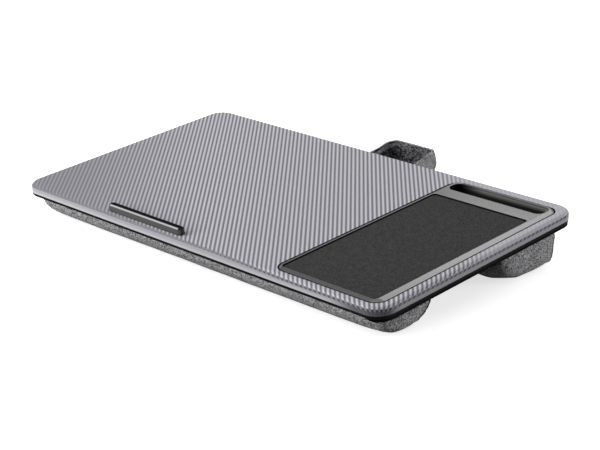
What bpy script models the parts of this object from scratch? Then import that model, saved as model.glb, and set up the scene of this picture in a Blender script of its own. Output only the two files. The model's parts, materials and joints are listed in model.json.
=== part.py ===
"""A laptop table for the lap: a laminated board with a device ledge, an inset accessory tray with a
mouse pad and a phone slot, and a cushion of two stuffed bolsters with a carry handle behind.

Metres, +Z up. Every sub-part is built in the desk's own frame, which has its origin at the middle of
the board's top surface, X to the right and Y to the back. The desk frame then leans back to front as
the two unequal bolsters make it, and stands on z = 0.
"""

import math

import bmesh
import bpy
from mathutils import Vector

# Clearances and small numbers that every sub-part shares
FIT_GAP = 0.0003
CUT_OVERRUN = 0.004
SAME_PLACE = 0.00001
SMOOTH_DEGREES = 35.0

# Board
BOARD_LENGTH = 0.536
BOARD_WIDTH = 0.305
BOARD_CORNER_RADIUS = 0.020
BOARD_EDGE_RADIUS = 0.0045
TOP_THICKNESS = 0.009
LAMINATE_THICKNESS = 0.0005
BASE_THICKNESS = 0.0032
BASE_INSET = 0.0004
BASE_EDGE_RADIUS = 0.0008
CORNER_SEGMENTS = 8
EDGE_SEGMENTS = 4

# Accessory tray, let in between the margins that the board leaves round it
TRAY_LENGTH = 0.138
TRAY_RIGHT_MARGIN = 0.0105
TRAY_FRONT_MARGIN = 0.0075
TRAY_REAR_MARGIN = 0.015
TRAY_CORNER_RADIUS = 0.012
TRAY_RISE = 0.0004
TRAY_EDGE_RADIUS = 0.0009
TRAY_GROOVE = 0.0006
TRAY_FLOOR = 0.0013

# Mouse pad, which fills the tray up to its rims and up to the web beside the phone slot
PAD_LEFT_MARGIN = 0.006
PAD_RIGHT_MARGIN = 0.0093
PAD_FRONT_MARGIN = 0.0087
PAD_SLOT_WEB = 0.0198
PAD_CORNER_RADIUS = 0.004
PAD_FOAM_THICKNESS = 0.0014
PAD_CLOTH_THICKNESS = 0.0005
PAD_SINK = 0.0004

# Phone slot along the back of the tray
SLOT_WIDTH = 0.0198
SLOT_LEFT_MARGIN = 0.0065
SLOT_RIGHT_MARGIN = 0.0075
SLOT_REAR_MARGIN = 0.0032
SLOT_CORNER_RADIUS = 0.0085
SLOT_DEPTH = 0.0108
SLOT_WALL = 0.0013

# Screws, and the bosses that they bite in
SCREW_SHANK_RADIUS = 0.0015
SCREW_HEAD_RADIUS = 0.0032
SCREW_HEAD_HEIGHT = 0.0014
SCREW_BITE = 0.0034
SCREW_SEGMENTS = 14
BOSS_RADIUS = 0.0036
BOSS_HEIGHT = 0.0024
BOSS_INSET = 0.022

# Device ledge, measured from the left and the front edge of the board
LEDGE_LENGTH = 0.116
LEDGE_DEPTH = 0.0092
LEDGE_HEIGHT = 0.0078
LEDGE_LEFT_MARGIN = 0.142
LEDGE_FRONT_MARGIN = 0.005
LEDGE_END_RADIUS = 0.0038
LEDGE_EDGE_RADIUS = 0.0014
LEDGE_SCREW_INSET = 0.018

# Cushion: a backing sheet under the board, and two stuffed bolsters that run along it
FABRIC_THICKNESS = 0.0012
BOLSTER_SEAM_INSET = 0.013
BOLSTER_END_CROWN = 0.0085
BOLSTER_END_COLLAR = 0.0015
BOLSTER_ROUNDNESS = 2.35
FRONT_BOLSTER_WIDTH = 0.084
FRONT_BOLSTER_DROP = 0.0262
FRONT_BOLSTER_MARGIN = 0.0045
REAR_BOLSTER_WIDTH = 0.1055
REAR_BOLSTER_DROP = 0.0395
REAR_BOLSTER_MARGIN = 0.019
BOLSTER_TUCK_SHARE = 0.09
BOLSTER_TUCK_POWER = 4
BOLSTER_END_FRONT_SHARE = 0.905
BOLSTER_END_BACK_SHARE = 1.0
BOLSTER_END_DROP_SHARE = 0.96
BOLSTER_END_REACH = 0.050
BOLSTER_END_BEND_SHARE = 0.998
BOLSTER_DOME_POWER = 2.2
BACKING_CORNER_RADIUS = 0.016
PIPING_RADIUS = 0.0011
REST_CUT = 0.0005
PROFILE_STEPS = 26
LENGTH_STEPS = 20
PIPING_STEPS = 15
END_RINGS = 5

# Carry handle: a padded strap bent to a loop, between two tabs under the back edge of the board
HANDLE_SPAN = 0.069
HANDLE_REACH = 0.0685
HANDLE_STRAP_WIDTH = 0.025
HANDLE_STRAP_THICKNESS = 0.004
HANDLE_CORNER_RADIUS = 0.013
HANDLE_AXIS_SETBACK = 0.0095
HANDLE_AXIS_DROP = 0.0154
HANDLE_RISE_DEGREES = 10.5
TAB_THICKNESS = 0.0025
TAB_FLANGE_LENGTH = 0.016
TAB_DEPTH = 0.019
CORNER_STEPS = 6
ROOT_STEPS = 5
ROOT_START_SHARE = 0.25

# How the resting lean is looked for
WIDEST_LEAN_DEGREES = 30
HALVINGS = 40

# Places that follow from the sizes above
TOP_BOTTOM_Z = -TOP_THICKNESS
BASE_TOP_Z = TOP_BOTTOM_Z - FIT_GAP
BASE_BOTTOM_Z = BASE_TOP_Z - BASE_THICKNESS
CORE_INSET = LAMINATE_THICKNESS + FIT_GAP
TRAY_DEPTH = BOARD_WIDTH - TRAY_FRONT_MARGIN - TRAY_REAR_MARGIN
TRAY_LEFT = BOARD_LENGTH / 2 - TRAY_RIGHT_MARGIN - TRAY_LENGTH
TRAY_FRONT = TRAY_FRONT_MARGIN - BOARD_WIDTH / 2
TRAY_BACK = TRAY_FRONT + TRAY_DEPTH
SLOT_LENGTH = TRAY_LENGTH - SLOT_LEFT_MARGIN - SLOT_RIGHT_MARGIN
PAD_LENGTH = TRAY_LENGTH - PAD_LEFT_MARGIN - PAD_RIGHT_MARGIN
PAD_BACK = TRAY_BACK - SLOT_REAR_MARGIN - SLOT_WIDTH - PAD_SLOT_WEB
PAD_DEPTH = PAD_BACK - TRAY_FRONT - PAD_FRONT_MARGIN
TRAY_CENTRE = (TRAY_LEFT + TRAY_LENGTH / 2, TRAY_FRONT + TRAY_DEPTH / 2)
PAD_STACK = PAD_FOAM_THICKNESS + PAD_CLOTH_THICKNESS + 2 * FIT_GAP
PAD_FLOOR_Z = TRAY_RISE - PAD_SINK - PAD_STACK
TRAY_BOTTOM_Z = PAD_FLOOR_Z - TRAY_FLOOR
POCKET_Z = TRAY_BOTTOM_Z - FIT_GAP
PAD_CENTRE = (
    TRAY_LEFT + PAD_LEFT_MARGIN + PAD_LENGTH / 2,
    PAD_BACK - PAD_DEPTH / 2,
)
SLOT_CENTRE = (
    TRAY_LEFT + SLOT_LEFT_MARGIN + SLOT_LENGTH / 2,
    TRAY_BACK - SLOT_REAR_MARGIN - SLOT_WIDTH / 2,
)
SLOT_FLOOR_Z = TRAY_RISE - SLOT_DEPTH
TROUGH_BOTTOM_Z = SLOT_FLOOR_Z - SLOT_WALL
BOSS_BOTTOM_Z = TRAY_BOTTOM_Z - BOSS_HEIGHT
HEAD_TOP_Z = TOP_BOTTOM_Z + FIT_GAP + SCREW_HEAD_HEIGHT
LEDGE_CENTRE = (
    LEDGE_LEFT_MARGIN + LEDGE_LENGTH / 2 - BOARD_LENGTH / 2,
    LEDGE_FRONT_MARGIN + LEDGE_DEPTH / 2 - BOARD_WIDTH / 2,
)
BACKING_TOP_Z = BASE_BOTTOM_Z - FIT_GAP
BACKING_BOTTOM_Z = BACKING_TOP_Z - FABRIC_THICKNESS
BOLSTER_TOP_Z = BACKING_BOTTOM_Z - FIT_GAP
FRONT_BOLSTER_Y = FRONT_BOLSTER_MARGIN + FRONT_BOLSTER_WIDTH / 2 - BOARD_WIDTH / 2
REAR_BOLSTER_Y = BOARD_WIDTH / 2 - REAR_BOLSTER_MARGIN - REAR_BOLSTER_WIDTH / 2
BOLSTER_SEAM_X = BOARD_LENGTH / 2 - BOLSTER_SEAM_INSET
COVER_END_X = BOLSTER_SEAM_X - PIPING_RADIUS - FIT_GAP
PANEL_START_X = BOLSTER_SEAM_X + PIPING_RADIUS + FIT_GAP
HANDLE_AXIS_Y = BOARD_WIDTH / 2 - HANDLE_AXIS_SETBACK
HANDLE_AXIS_Z = BASE_BOTTOM_Z - HANDLE_AXIS_DROP


def linear(channel):
    """One sRGB channel from 0 to 1 as a linear value."""
    return channel / 12.92 if channel <= 0.04045 else ((channel + 0.055) / 1.055) ** 2.4


def make_material(name, hex_colour, roughness, metallic=0.0):
    """A Principled material with a plain colour."""
    material = bpy.data.materials.new(name)
    material.use_nodes = True
    shader = material.node_tree.nodes["Principled BSDF"]
    channels = [linear(int(hex_colour[i : i + 2], 16) / 255) for i in (0, 2, 4)]
    shader.inputs["Base Color"].default_value = (*channels, 1.0)
    shader.inputs["Roughness"].default_value = roughness
    shader.inputs["Metallic"].default_value = metallic
    return material


def clear_scene():
    """Removes every object of the scene that the script starts in."""
    for obj in list(bpy.data.objects):
        bpy.data.objects.remove(obj, do_unlink=True)


def make_collections():
    """The collection of the parts and the one of their cutters."""
    parts = bpy.data.collections.new("laptop_table")
    cutters = bpy.data.collections.new("laptop_table_cutters")
    bpy.context.scene.collection.children.link(parts)
    bpy.context.scene.collection.children.link(cutters)
    return parts, cutters


class Builder:
    """Makes objects of the desk: each part in its collection, under the desk's frame, with its material."""

    def __init__(self):
        self.parts, self.cutters = make_collections()
        self.desk_frame = self.add_empty("desk_frame", None, Vector((0, 0, 0)))

    def add_empty(self, name, parent, location):
        empty = bpy.data.objects.new(name, None)
        empty.empty_display_size = BOARD_CORNER_RADIUS
        empty.parent = parent
        empty.location = location
        self.parts.objects.link(empty)
        return empty

    def add_part(self, name, mesh, material, parent=None):
        mesh.materials.append(material)
        mesh.shade_smooth()
        mesh.set_sharp_from_angle(angle=math.radians(SMOOTH_DEGREES))
        part = bpy.data.objects.new(name, mesh)
        part.parent = parent or self.desk_frame
        self.parts.objects.link(part)
        return part

    def add_cutter(self, name, mesh, parent=None):
        cutter = bpy.data.objects.new(name, mesh)
        cutter.hide_render = True
        cutter.display_type = "WIRE"
        cutter.parent = parent
        self.cutters.objects.link(cutter)
        return cutter

    def combine(self, part, operation, name, mesh):
        """A Boolean of the part with a helper that stands in the desk's frame."""
        helper = self.add_cutter(name, mesh, self.desk_frame)
        boolean = part.modifiers.new(name, "BOOLEAN")
        boolean.operation = operation
        boolean.object = helper
        return helper


def to_mesh(name, bm):
    """The finished mesh of a bmesh, with its faces pointing out."""
    bmesh.ops.recalc_face_normals(bm, faces=bm.faces)
    mesh = bpy.data.meshes.new(name)
    bm.to_mesh(mesh)
    bm.free()
    return mesh


def bevel_edges(bm, chosen, radius, segments):
    """Rounds the chosen edges of a bmesh."""
    bmesh.ops.bevel(
        bm, geom=chosen, offset=radius, offset_type="OFFSET", segments=segments, profile=0.5, affect="EDGES"
    )


def level_edges(bm, z):
    """The edges that lie at one height."""
    return [e for e in bm.edges if all(abs(v.co.z - z) < SAME_PLACE for v in e.verts)]


def slab(name, size, centre, bottom, top, corner, top_radius=0.0, bottom_radius=0.0):
    """A rounded-rectangle plate between two heights, with its upper and lower edges rounded on request."""
    bm = bmesh.new()
    bmesh.ops.create_cube(bm, size=1)
    bmesh.ops.scale(bm, vec=(size[0], size[1], top - bottom), verts=bm.verts)
    bmesh.ops.translate(bm, vec=(centre[0], centre[1], (top + bottom) / 2), verts=bm.verts)
    upright = [e for e in bm.edges if abs(e.verts[0].co.z - e.verts[1].co.z) > SAME_PLACE]
    bevel_edges(bm, upright, corner, CORNER_SEGMENTS)
    if top_radius:
        bevel_edges(bm, level_edges(bm, top), top_radius, EDGE_SEGMENTS)
    if bottom_radius:
        bevel_edges(bm, level_edges(bm, bottom), bottom_radius, EDGE_SEGMENTS)
    return to_mesh(name, bm)


def upright_cylinder(name, radius, centre, bottom, top):
    """A cylinder that stands between two heights."""
    bm = bmesh.new()
    bmesh.ops.create_cone(
        bm, cap_ends=True, segments=SCREW_SEGMENTS, radius1=radius, radius2=radius, depth=top - bottom
    )
    bmesh.ops.translate(bm, vec=(centre[0], centre[1], (top + bottom) / 2), verts=bm.verts)
    return to_mesh(name, bm)


def tray_screw_places():
    """The four screws of the tray, in from its corners and clear of the phone slot."""
    middle = PAD_CENTRE
    across = PAD_LENGTH / 2 - BOSS_INSET
    along = PAD_DEPTH / 2 - BOSS_INSET
    rows = (("front", -along), ("rear", along))
    columns = (("left", -across), ("right", across))
    return {
        f"{row}_{column}": (middle[0] + x, middle[1] + y) for row, y in rows for column, x in columns
    }


def ledge_screw_places():
    """The two screws of the device ledge."""
    reach = LEDGE_LENGTH / 2 - LEDGE_SCREW_INSET
    return {
        "left": (LEDGE_CENTRE[0] - reach, LEDGE_CENTRE[1]),
        "right": (LEDGE_CENTRE[0] + reach, LEDGE_CENTRE[1]),
    }


def cut_screw_bores(build, part, places, bottom, top, radius, kind):
    """Bores of one radius at each screw."""
    for name, place in places.items():
        bore = upright_cylinder(f"{kind}_{name}", radius, place, bottom, top)
        build.combine(part, "DIFFERENCE", f"{part.name}_{kind}_{name}", bore)


def build_laminate(build):
    """The film that wraps the top and the edges of the core, open over the tray."""
    size = (BOARD_LENGTH, BOARD_WIDTH)
    mesh = slab("laminate", size, (0, 0), TOP_BOTTOM_Z, 0, BOARD_CORNER_RADIUS, BOARD_EDGE_RADIUS)
    part = build.add_part("laminate_film", mesh, make_material("carbon_film", "A3A2A9", 0.38, 0.3))
    inner = slab(
        "laminate_inside",
        (size[0] - 2 * LAMINATE_THICKNESS, size[1] - 2 * LAMINATE_THICKNESS),
        (0, 0),
        TOP_BOTTOM_Z - CUT_OVERRUN,
        -LAMINATE_THICKNESS,
        BOARD_CORNER_RADIUS - LAMINATE_THICKNESS,
        BOARD_EDGE_RADIUS - LAMINATE_THICKNESS,
    )
    build.combine(part, "DIFFERENCE", "laminate_inside", inner)
    build.combine(part, "DIFFERENCE", "laminate_window", tray_window("laminate_window", -CUT_OVERRUN))
    clear = SCREW_SHANK_RADIUS + FIT_GAP
    cut_screw_bores(build, part, ledge_screw_places(), -CUT_OVERRUN, CUT_OVERRUN, clear, "ledge_bore")


def tray_window(name, bottom):
    """The opening that the tray drops into, a narrow groove wider than the tray all round."""
    size = (TRAY_LENGTH + 2 * TRAY_GROOVE, TRAY_DEPTH + 2 * TRAY_GROOVE)
    return slab(name, size, TRAY_CENTRE, bottom, CUT_OVERRUN, TRAY_CORNER_RADIUS + TRAY_GROOVE)


def trough_window(name, bottom, top):
    """The hole that the trough of the phone slot hangs through."""
    grow = SLOT_WALL + FIT_GAP
    size = (SLOT_LENGTH + 2 * grow, SLOT_WIDTH + 2 * grow)
    return slab(name, size, SLOT_CENTRE, bottom, top, SLOT_CORNER_RADIUS + grow)


def build_core(build):
    """The fibreboard core, routed for the tray and bored for the screws."""
    size = (BOARD_LENGTH - 2 * CORE_INSET, BOARD_WIDTH - 2 * CORE_INSET)
    corner = BOARD_CORNER_RADIUS - CORE_INSET
    edge = BOARD_EDGE_RADIUS - CORE_INSET
    mesh = slab("core", size, (0, 0), TOP_BOTTOM_Z, -CORE_INSET, corner, edge)
    part = build.add_part("board_core", mesh, make_material("fibreboard", "8C6B4A", 0.85))
    build.combine(part, "DIFFERENCE", "core_pocket", tray_window("core_pocket", POCKET_Z))
    below = TOP_BOTTOM_Z - CUT_OVERRUN
    build.combine(part, "DIFFERENCE", "core_trough", trough_window("core_trough", below, CUT_OVERRUN))
    clear = SCREW_SHANK_RADIUS + FIT_GAP
    head_clear = SCREW_HEAD_RADIUS + FIT_GAP
    ledge_screws = ledge_screw_places()
    tray_screws = tray_screw_places()
    cut_screw_bores(build, part, ledge_screws, below, CUT_OVERRUN, clear, "ledge_bore")
    cut_screw_bores(build, part, ledge_screws, below, HEAD_TOP_Z + FIT_GAP, head_clear, "ledge_sink")
    cut_screw_bores(build, part, tray_screws, below, CUT_OVERRUN, clear, "tray_bore")
    cut_screw_bores(build, part, tray_screws, below, HEAD_TOP_Z + FIT_GAP, head_clear, "tray_sink")
    boss_clear = BOSS_RADIUS + FIT_GAP
    boss_floor = BOSS_BOTTOM_Z - FIT_GAP
    cut_screw_bores(build, part, tray_screws, boss_floor, CUT_OVERRUN, boss_clear, "boss_sink")


def build_base(build):
    """The black base panel that closes the board from below."""
    size = (BOARD_LENGTH - 2 * BASE_INSET, BOARD_WIDTH - 2 * BASE_INSET)
    corner = BOARD_CORNER_RADIUS - BASE_INSET
    mesh = slab("base", size, (0, 0), BASE_BOTTOM_Z, BASE_TOP_Z, corner, bottom_radius=BASE_EDGE_RADIUS)
    part = build.add_part("base_panel", mesh, make_material("black_hardboard", "0D0D0E", 0.6))
    below = BASE_BOTTOM_Z - CUT_OVERRUN
    window = trough_window("base_trough", below, BASE_TOP_Z + CUT_OVERRUN)
    build.combine(part, "DIFFERENCE", "base_trough", window)


def build_tray(build):
    """The moulded tray: a plate with a recess for the pad, a phone trough and four screw bosses."""
    size = (TRAY_LENGTH, TRAY_DEPTH)
    corner = TRAY_CORNER_RADIUS
    mesh = slab("tray", size, TRAY_CENTRE, TRAY_BOTTOM_Z, TRAY_RISE, corner, TRAY_EDGE_RADIUS)
    part = build.add_part("accessory_tray", mesh, make_material("tray_plastic", "9C9B99", 0.35, 0.6))
    inside = (TRAY_BOTTOM_Z + TRAY_RISE) / 2
    shell = (SLOT_LENGTH + 2 * SLOT_WALL, SLOT_WIDTH + 2 * SLOT_WALL)
    trough = slab("trough", shell, SLOT_CENTRE, TROUGH_BOTTOM_Z, inside, SLOT_CORNER_RADIUS + SLOT_WALL)
    build.combine(part, "UNION", "tray_trough", trough)
    for name, place in tray_screw_places().items():
        boss_top = TRAY_BOTTOM_Z + TRAY_FLOOR / 2
        boss = upright_cylinder(f"boss_{name}", BOSS_RADIUS, place, BOSS_BOTTOM_Z, boss_top)
        build.combine(part, "UNION", f"tray_boss_{name}", boss)
    recess_size = (PAD_LENGTH + 2 * FIT_GAP, PAD_DEPTH + 2 * FIT_GAP)
    recess_corner = PAD_CORNER_RADIUS + FIT_GAP
    recess = slab("recess", recess_size, PAD_CENTRE, PAD_FLOOR_Z, CUT_OVERRUN, recess_corner)
    build.combine(part, "DIFFERENCE", "tray_recess", recess)
    slot_size = (SLOT_LENGTH, SLOT_WIDTH)
    slot = slab("slot", slot_size, SLOT_CENTRE, SLOT_FLOOR_Z, CUT_OVERRUN, SLOT_CORNER_RADIUS)
    build.combine(part, "DIFFERENCE", "tray_slot", slot)
    bite_top = BOSS_BOTTOM_Z + SCREW_BITE
    pilot = SCREW_SHANK_RADIUS + FIT_GAP
    below = BOSS_BOTTOM_Z - CUT_OVERRUN
    cut_screw_bores(build, part, tray_screw_places(), below, bite_top, pilot, "pilot")


def build_mouse_pad(build):
    """The pad: a foam sheet with a woven cloth on it, both in the tray's recess."""
    size = (PAD_LENGTH, PAD_DEPTH)
    foam_bottom = PAD_FLOOR_Z + FIT_GAP
    foam_top = foam_bottom + PAD_FOAM_THICKNESS
    cloth_bottom = foam_top + FIT_GAP
    cloth_top = cloth_bottom + PAD_CLOTH_THICKNESS
    foam = slab("foam", size, PAD_CENTRE, foam_bottom, foam_top, PAD_CORNER_RADIUS)
    build.add_part("mouse_pad_foam", foam, make_material("pad_foam", "17181A", 0.9))
    cloth = slab("cloth", size, PAD_CENTRE, cloth_bottom, cloth_top, PAD_CORNER_RADIUS)
    build.add_part("mouse_pad_cloth", cloth, make_material("pad_cloth", "3A3A3A", 0.85))


def build_ledge(build):
    """The bar that keeps a laptop from sliding, rounded all round its top."""
    size = (LEDGE_LENGTH, LEDGE_DEPTH)
    top = FIT_GAP + LEDGE_HEIGHT
    mesh = slab("ledge", size, LEDGE_CENTRE, FIT_GAP, top, LEDGE_END_RADIUS, LEDGE_EDGE_RADIUS)
    part = build.add_part("device_ledge", mesh, make_material("ledge_plastic", "101011", 0.2))
    pilot = SCREW_SHANK_RADIUS + FIT_GAP
    bite_top = FIT_GAP + SCREW_BITE
    cut_screw_bores(build, part, ledge_screw_places(), -CUT_OVERRUN, bite_top, pilot, "pilot")


def turned_screw(build, name, place, tip_z, material):
    """A pan-head screw that points up: its outline turned about its own axis."""
    head_bottom = TOP_BOTTOM_Z + FIT_GAP
    crown = SCREW_HEAD_RADIUS - SCREW_HEAD_HEIGHT / 2
    outline = (
        (0, tip_z),
        (SCREW_SHANK_RADIUS, tip_z),
        (SCREW_SHANK_RADIUS, HEAD_TOP_Z),
        (SCREW_HEAD_RADIUS, HEAD_TOP_Z),
        (SCREW_HEAD_RADIUS, head_bottom + SCREW_HEAD_HEIGHT / 2),
        (crown, head_bottom),
        (0, head_bottom),
    )
    mesh = bpy.data.meshes.new(name)
    points = [(radius, 0, z) for radius, z in outline]
    mesh.from_pydata(points, [(i, i + 1) for i in range(len(points) - 1)], [])
    part = build.add_part(name, mesh, material)
    part.location = (place[0], place[1], 0)
    turn = part.modifiers.new("turn", "SCREW")
    turn.steps = SCREW_SEGMENTS
    turn.render_steps = SCREW_SEGMENTS
    turn.use_merge_vertices = True
    turn.merge_threshold = SAME_PLACE
    return part


def build_screws(build):
    """Two screws hold the ledge and four the tray, all from under the core."""
    steel = make_material("zinc_steel", "B8B9BA", 0.35, 1.0)
    for name, place in ledge_screw_places().items():
        turned_screw(build, f"ledge_screw_{name}", place, SCREW_BITE, steel)
    for name, place in tray_screw_places().items():
        turned_screw(build, f"tray_screw_{name}", place, BOSS_BOTTOM_Z + SCREW_BITE - FIT_GAP, steel)


def signed_power(value, power):
    """A power that keeps the sign of its base."""
    return math.copysign(abs(value) ** power, value)


class Bolster:
    """One stuffed roll of the cushion: the shape of its cover, its fill, its end panels and its piping."""

    def __init__(self, name, centre_y, width, drop):
        self.name = name
        self.centre_y = centre_y
        self.half_width = width / 2
        self.drop = drop

    def drawn_in(self, x, end_share):
        """A share that falls from one to its end value over the last reach of the roll."""
        start = BOLSTER_SEAM_X - BOLSTER_END_REACH
        way = min(max((abs(x) - start) / BOLSTER_END_REACH, 0), 1)
        bend = 1 - math.sqrt(1 - BOLSTER_END_BEND_SHARE * way * way)
        return 1 - bend * (1 - end_share)

    def point(self, x, share, inset=0.0):
        """A point of the outer surface. The share runs from the front seam under the roll to the back."""
        angle = math.pi * share
        side_share = BOLSTER_END_FRONT_SHARE if share < 1 / 2 else BOLSTER_END_BACK_SHARE
        power = 2 / BOLSTER_ROUNDNESS
        sine = math.sin(angle)
        tuck = 1 - BOLSTER_TUCK_SHARE * (1 - sine) ** BOLSTER_TUCK_POWER
        half_width = (self.half_width - inset) * self.drawn_in(x, side_share) * tuck
        drop = (self.drop - inset) * self.drawn_in(x, BOLSTER_END_DROP_SHARE)
        y = self.centre_y - half_width * signed_power(math.cos(angle), power)
        return Vector((x, y, BOLSTER_TOP_Z - drop * abs(sine) ** power))

    def ring(self, x, steps, inset=0.0, top_gap=0.0):
        """The points of one cross-section, from the front seam to the back seam."""
        points = [self.point(x, i / steps, inset) for i in range(steps + 1)]
        for point in (points[0], points[-1]):
            point.z -= top_gap
        return points

    def middle(self, x):
        """The point that the end panel's rings shrink to."""
        return Vector((x, self.centre_y, BOLSTER_TOP_Z - self.drop * BOLSTER_END_DROP_SHARE / 2))

    def cover_mesh(self):
        """The main cloth as an open sheet from end to end."""
        bm = bmesh.new()
        rows = []
        for x in along_length(COVER_END_X):
            rows.append([bm.verts.new(p) for p in self.ring(x, PROFILE_STEPS)])
        for first, second in zip(rows, rows[1:]):
            bridge(bm, first, second, closed=False)
        return to_mesh(f"{self.name}_cover", bm)

    def fill_mesh(self):
        """The stuffing, a closed roll just inside the cloth."""
        bm = bmesh.new()
        inset = FABRIC_THICKNESS + 2 * FIT_GAP
        end = COVER_END_X - FABRIC_THICKNESS
        rows = []
        for x in along_length(end):
            rows.append([bm.verts.new(p) for p in self.ring(x, PROFILE_STEPS // 2, inset, FIT_GAP)])
        for first, second in zip(rows, rows[1:]):
            bridge(bm, first, second, closed=True)
        bm.faces.new(rows[0])
        bm.faces.new(rows[-1])
        return to_mesh(f"{self.name}_fill", bm)

    def end_mesh(self, side):
        """The domed end panel as an open sheet: rings that shrink to the middle and swell outwards."""
        bm = bmesh.new()
        outline = self.ring(BOLSTER_SEAM_X, PROFILE_STEPS, top_gap=FIT_GAP)
        middle = self.middle(BOLSTER_SEAM_X)
        dome_start = PANEL_START_X + BOLSTER_END_COLLAR
        rings = [[bm.verts.new((side * PANEL_START_X, p.y, p.z)) for p in outline]]
        for step in range(END_RINGS):
            share = 1 - step / END_RINGS
            swell = BOLSTER_END_CROWN * math.sqrt(1 - share**BOLSTER_DOME_POWER)
            points = [middle.lerp(p, share) for p in outline]
            rings.append([bm.verts.new((side * (dome_start + swell), p.y, p.z)) for p in points])
        for first, second in zip(rings, rings[1:]):
            bridge(bm, first, second, closed=True)
        tip = bm.verts.new((side * (dome_start + BOLSTER_END_CROWN), middle.y, middle.z))
        last = rings[-1]
        for i, vert in enumerate(last):
            bm.faces.new((vert, last[(i + 1) % len(last)], tip))
        mesh = to_mesh(f"{self.name}_end", bm)
        if (mesh.polygons[len(mesh.polygons) - 1].normal.x > 0) != (side > 0):
            mesh.flip_normals()
        return mesh


def along_length(end):
    """Places along a roll: closer together at its drawn-in ends."""
    return [end * math.sin(math.pi * (i / LENGTH_STEPS - 0.5)) for i in range(LENGTH_STEPS + 1)]


def bridge(bm, first, second, closed):
    """Quads between two rows of vertices."""
    count = len(first)
    for i in range(count if closed else count - 1):
        j = (i + 1) % count
        bm.faces.new((first[i], first[j], second[j], second[i]))


def add_thickness(part, thickness):
    """Cloth that grows inwards from its outer surface."""
    solidify = part.modifiers.new("cloth", "SOLIDIFY")
    solidify.thickness = thickness
    solidify.offset = -1
    solidify.use_even_offset = True


def face_outwards(mesh):
    """Turns an open sheet so that its lowest face looks down."""
    lowest = min(mesh.polygons, key=lambda face: face.center.z)
    if lowest.normal.z > 0:
        mesh.flip_normals()


def build_piping(build, bolster, side, material):
    """The cord sewn in the seam between the cover and the end panel."""
    curve = bpy.data.curves.new("piping", "CURVE")
    curve.dimensions = "3D"
    curve.bevel_depth = PIPING_RADIUS
    curve.bevel_resolution = 1
    curve.use_fill_caps = True
    spline = curve.splines.new("POLY")
    points = bolster.ring(BOLSTER_SEAM_X, PIPING_STEPS, top_gap=FIT_GAP)
    spline.points.add(len(points) - 1)
    for target, point in zip(spline.points, points):
        target.co = (side * point.x, point.y, point.z, 1)
    name = "right" if side > 0 else "left"
    curve.materials.append(material)
    part = bpy.data.objects.new(f"{bolster.name}_piping_{name}", curve)
    part.parent = build.desk_frame
    build.parts.objects.link(part)


def build_bolsters(build):
    """Both rolls of the cushion. It returns them with their covers, which the floor flattens."""
    heather = make_material("heather_cloth", "6F6F70", 0.95)
    stuffing = make_material("stuffing", "E8E6E0", 0.95)
    cord = make_material("piping_cord", "2B2B2C", 0.8)
    bolsters = (
        Bolster("front_bolster", FRONT_BOLSTER_Y, FRONT_BOLSTER_WIDTH, FRONT_BOLSTER_DROP),
        Bolster("rear_bolster", REAR_BOLSTER_Y, REAR_BOLSTER_WIDTH, REAR_BOLSTER_DROP),
    )
    covers = []
    for bolster in bolsters:
        mesh = bolster.cover_mesh()
        face_outwards(mesh)
        cover = build.add_part(f"{bolster.name}_cover", mesh, heather)
        add_thickness(cover, FABRIC_THICKNESS)
        covers.append(cover)
        build.add_part(f"{bolster.name}_fill", bolster.fill_mesh(), stuffing)
        for side, name in ((-1, "left"), (1, "right")):
            end = build.add_part(f"{bolster.name}_end_{name}", bolster.end_mesh(side), heather)
            add_thickness(end, FABRIC_THICKNESS)
            build_piping(build, bolster, side, cord)
    return bolsters, covers


def build_backing(build):
    """The cloth sheet under the base panel that both rolls are sewn to."""
    front = FRONT_BOLSTER_Y - FRONT_BOLSTER_WIDTH / 2
    back = REAR_BOLSTER_Y + REAR_BOLSTER_WIDTH / 2
    size = (2 * PANEL_START_X, back - front)
    centre = (0, (front + back) / 2)
    mesh = slab("backing", size, centre, BACKING_BOTTOM_Z, BACKING_TOP_Z, BACKING_CORNER_RADIUS)
    build.add_part("cushion_backing", mesh, make_material("backing_cloth", "3B3B3C", 0.95))


def strap_stations():
    """The strap's middle line in its own plane, as (x, y, half_height) from the left root to the right.

    Each root is a half disc about the handle's axis, so the strap turns there between its tabs."""
    half = HANDLE_STRAP_WIDTH / 2
    reach = HANDLE_SPAN / 2 - HANDLE_STRAP_THICKNESS / 2
    tip = HANDLE_REACH - HANDLE_STRAP_THICKNESS / 2
    stations = []
    for i in range(ROOT_STEPS + 1):
        angle = math.pi / 2 * (i + ROOT_START_SHARE) / (ROOT_STEPS + ROOT_START_SHARE)
        stations.append((-reach, -half * math.cos(angle), half * math.sin(angle)))
    corner = HANDLE_CORNER_RADIUS
    for i in range(CORNER_STEPS + 1):
        angle = math.pi / 2 * i / CORNER_STEPS
        x = -reach + corner * (1 - math.cos(angle))
        stations.append((x, tip - corner * (1 - math.sin(angle)), half))
    right = [(-x, y, height) for x, y, height in reversed(stations)]
    return stations + right


def strap_section(place, across, half_height):
    """One cross-section of the strap: a flat band with rounded rims."""
    half = HANDLE_STRAP_THICKNESS / 2
    rim = min(half, half_height / 2)
    corners = []
    for z_side, thick_sides in ((1, (1, -1)), (-1, (-1, 1))):
        first, second = thick_sides
        corners.append((first * half, z_side * (half_height - rim)))
        corners.append((first * half / 2, z_side * half_height))
        corners.append((second * half / 2, z_side * half_height))
        corners.append((second * half, z_side * (half_height - rim)))
    return [
        Vector((place[0] + across[0] * t, place[1] + across[1] * t, z)) for t, z in corners
    ]


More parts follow.
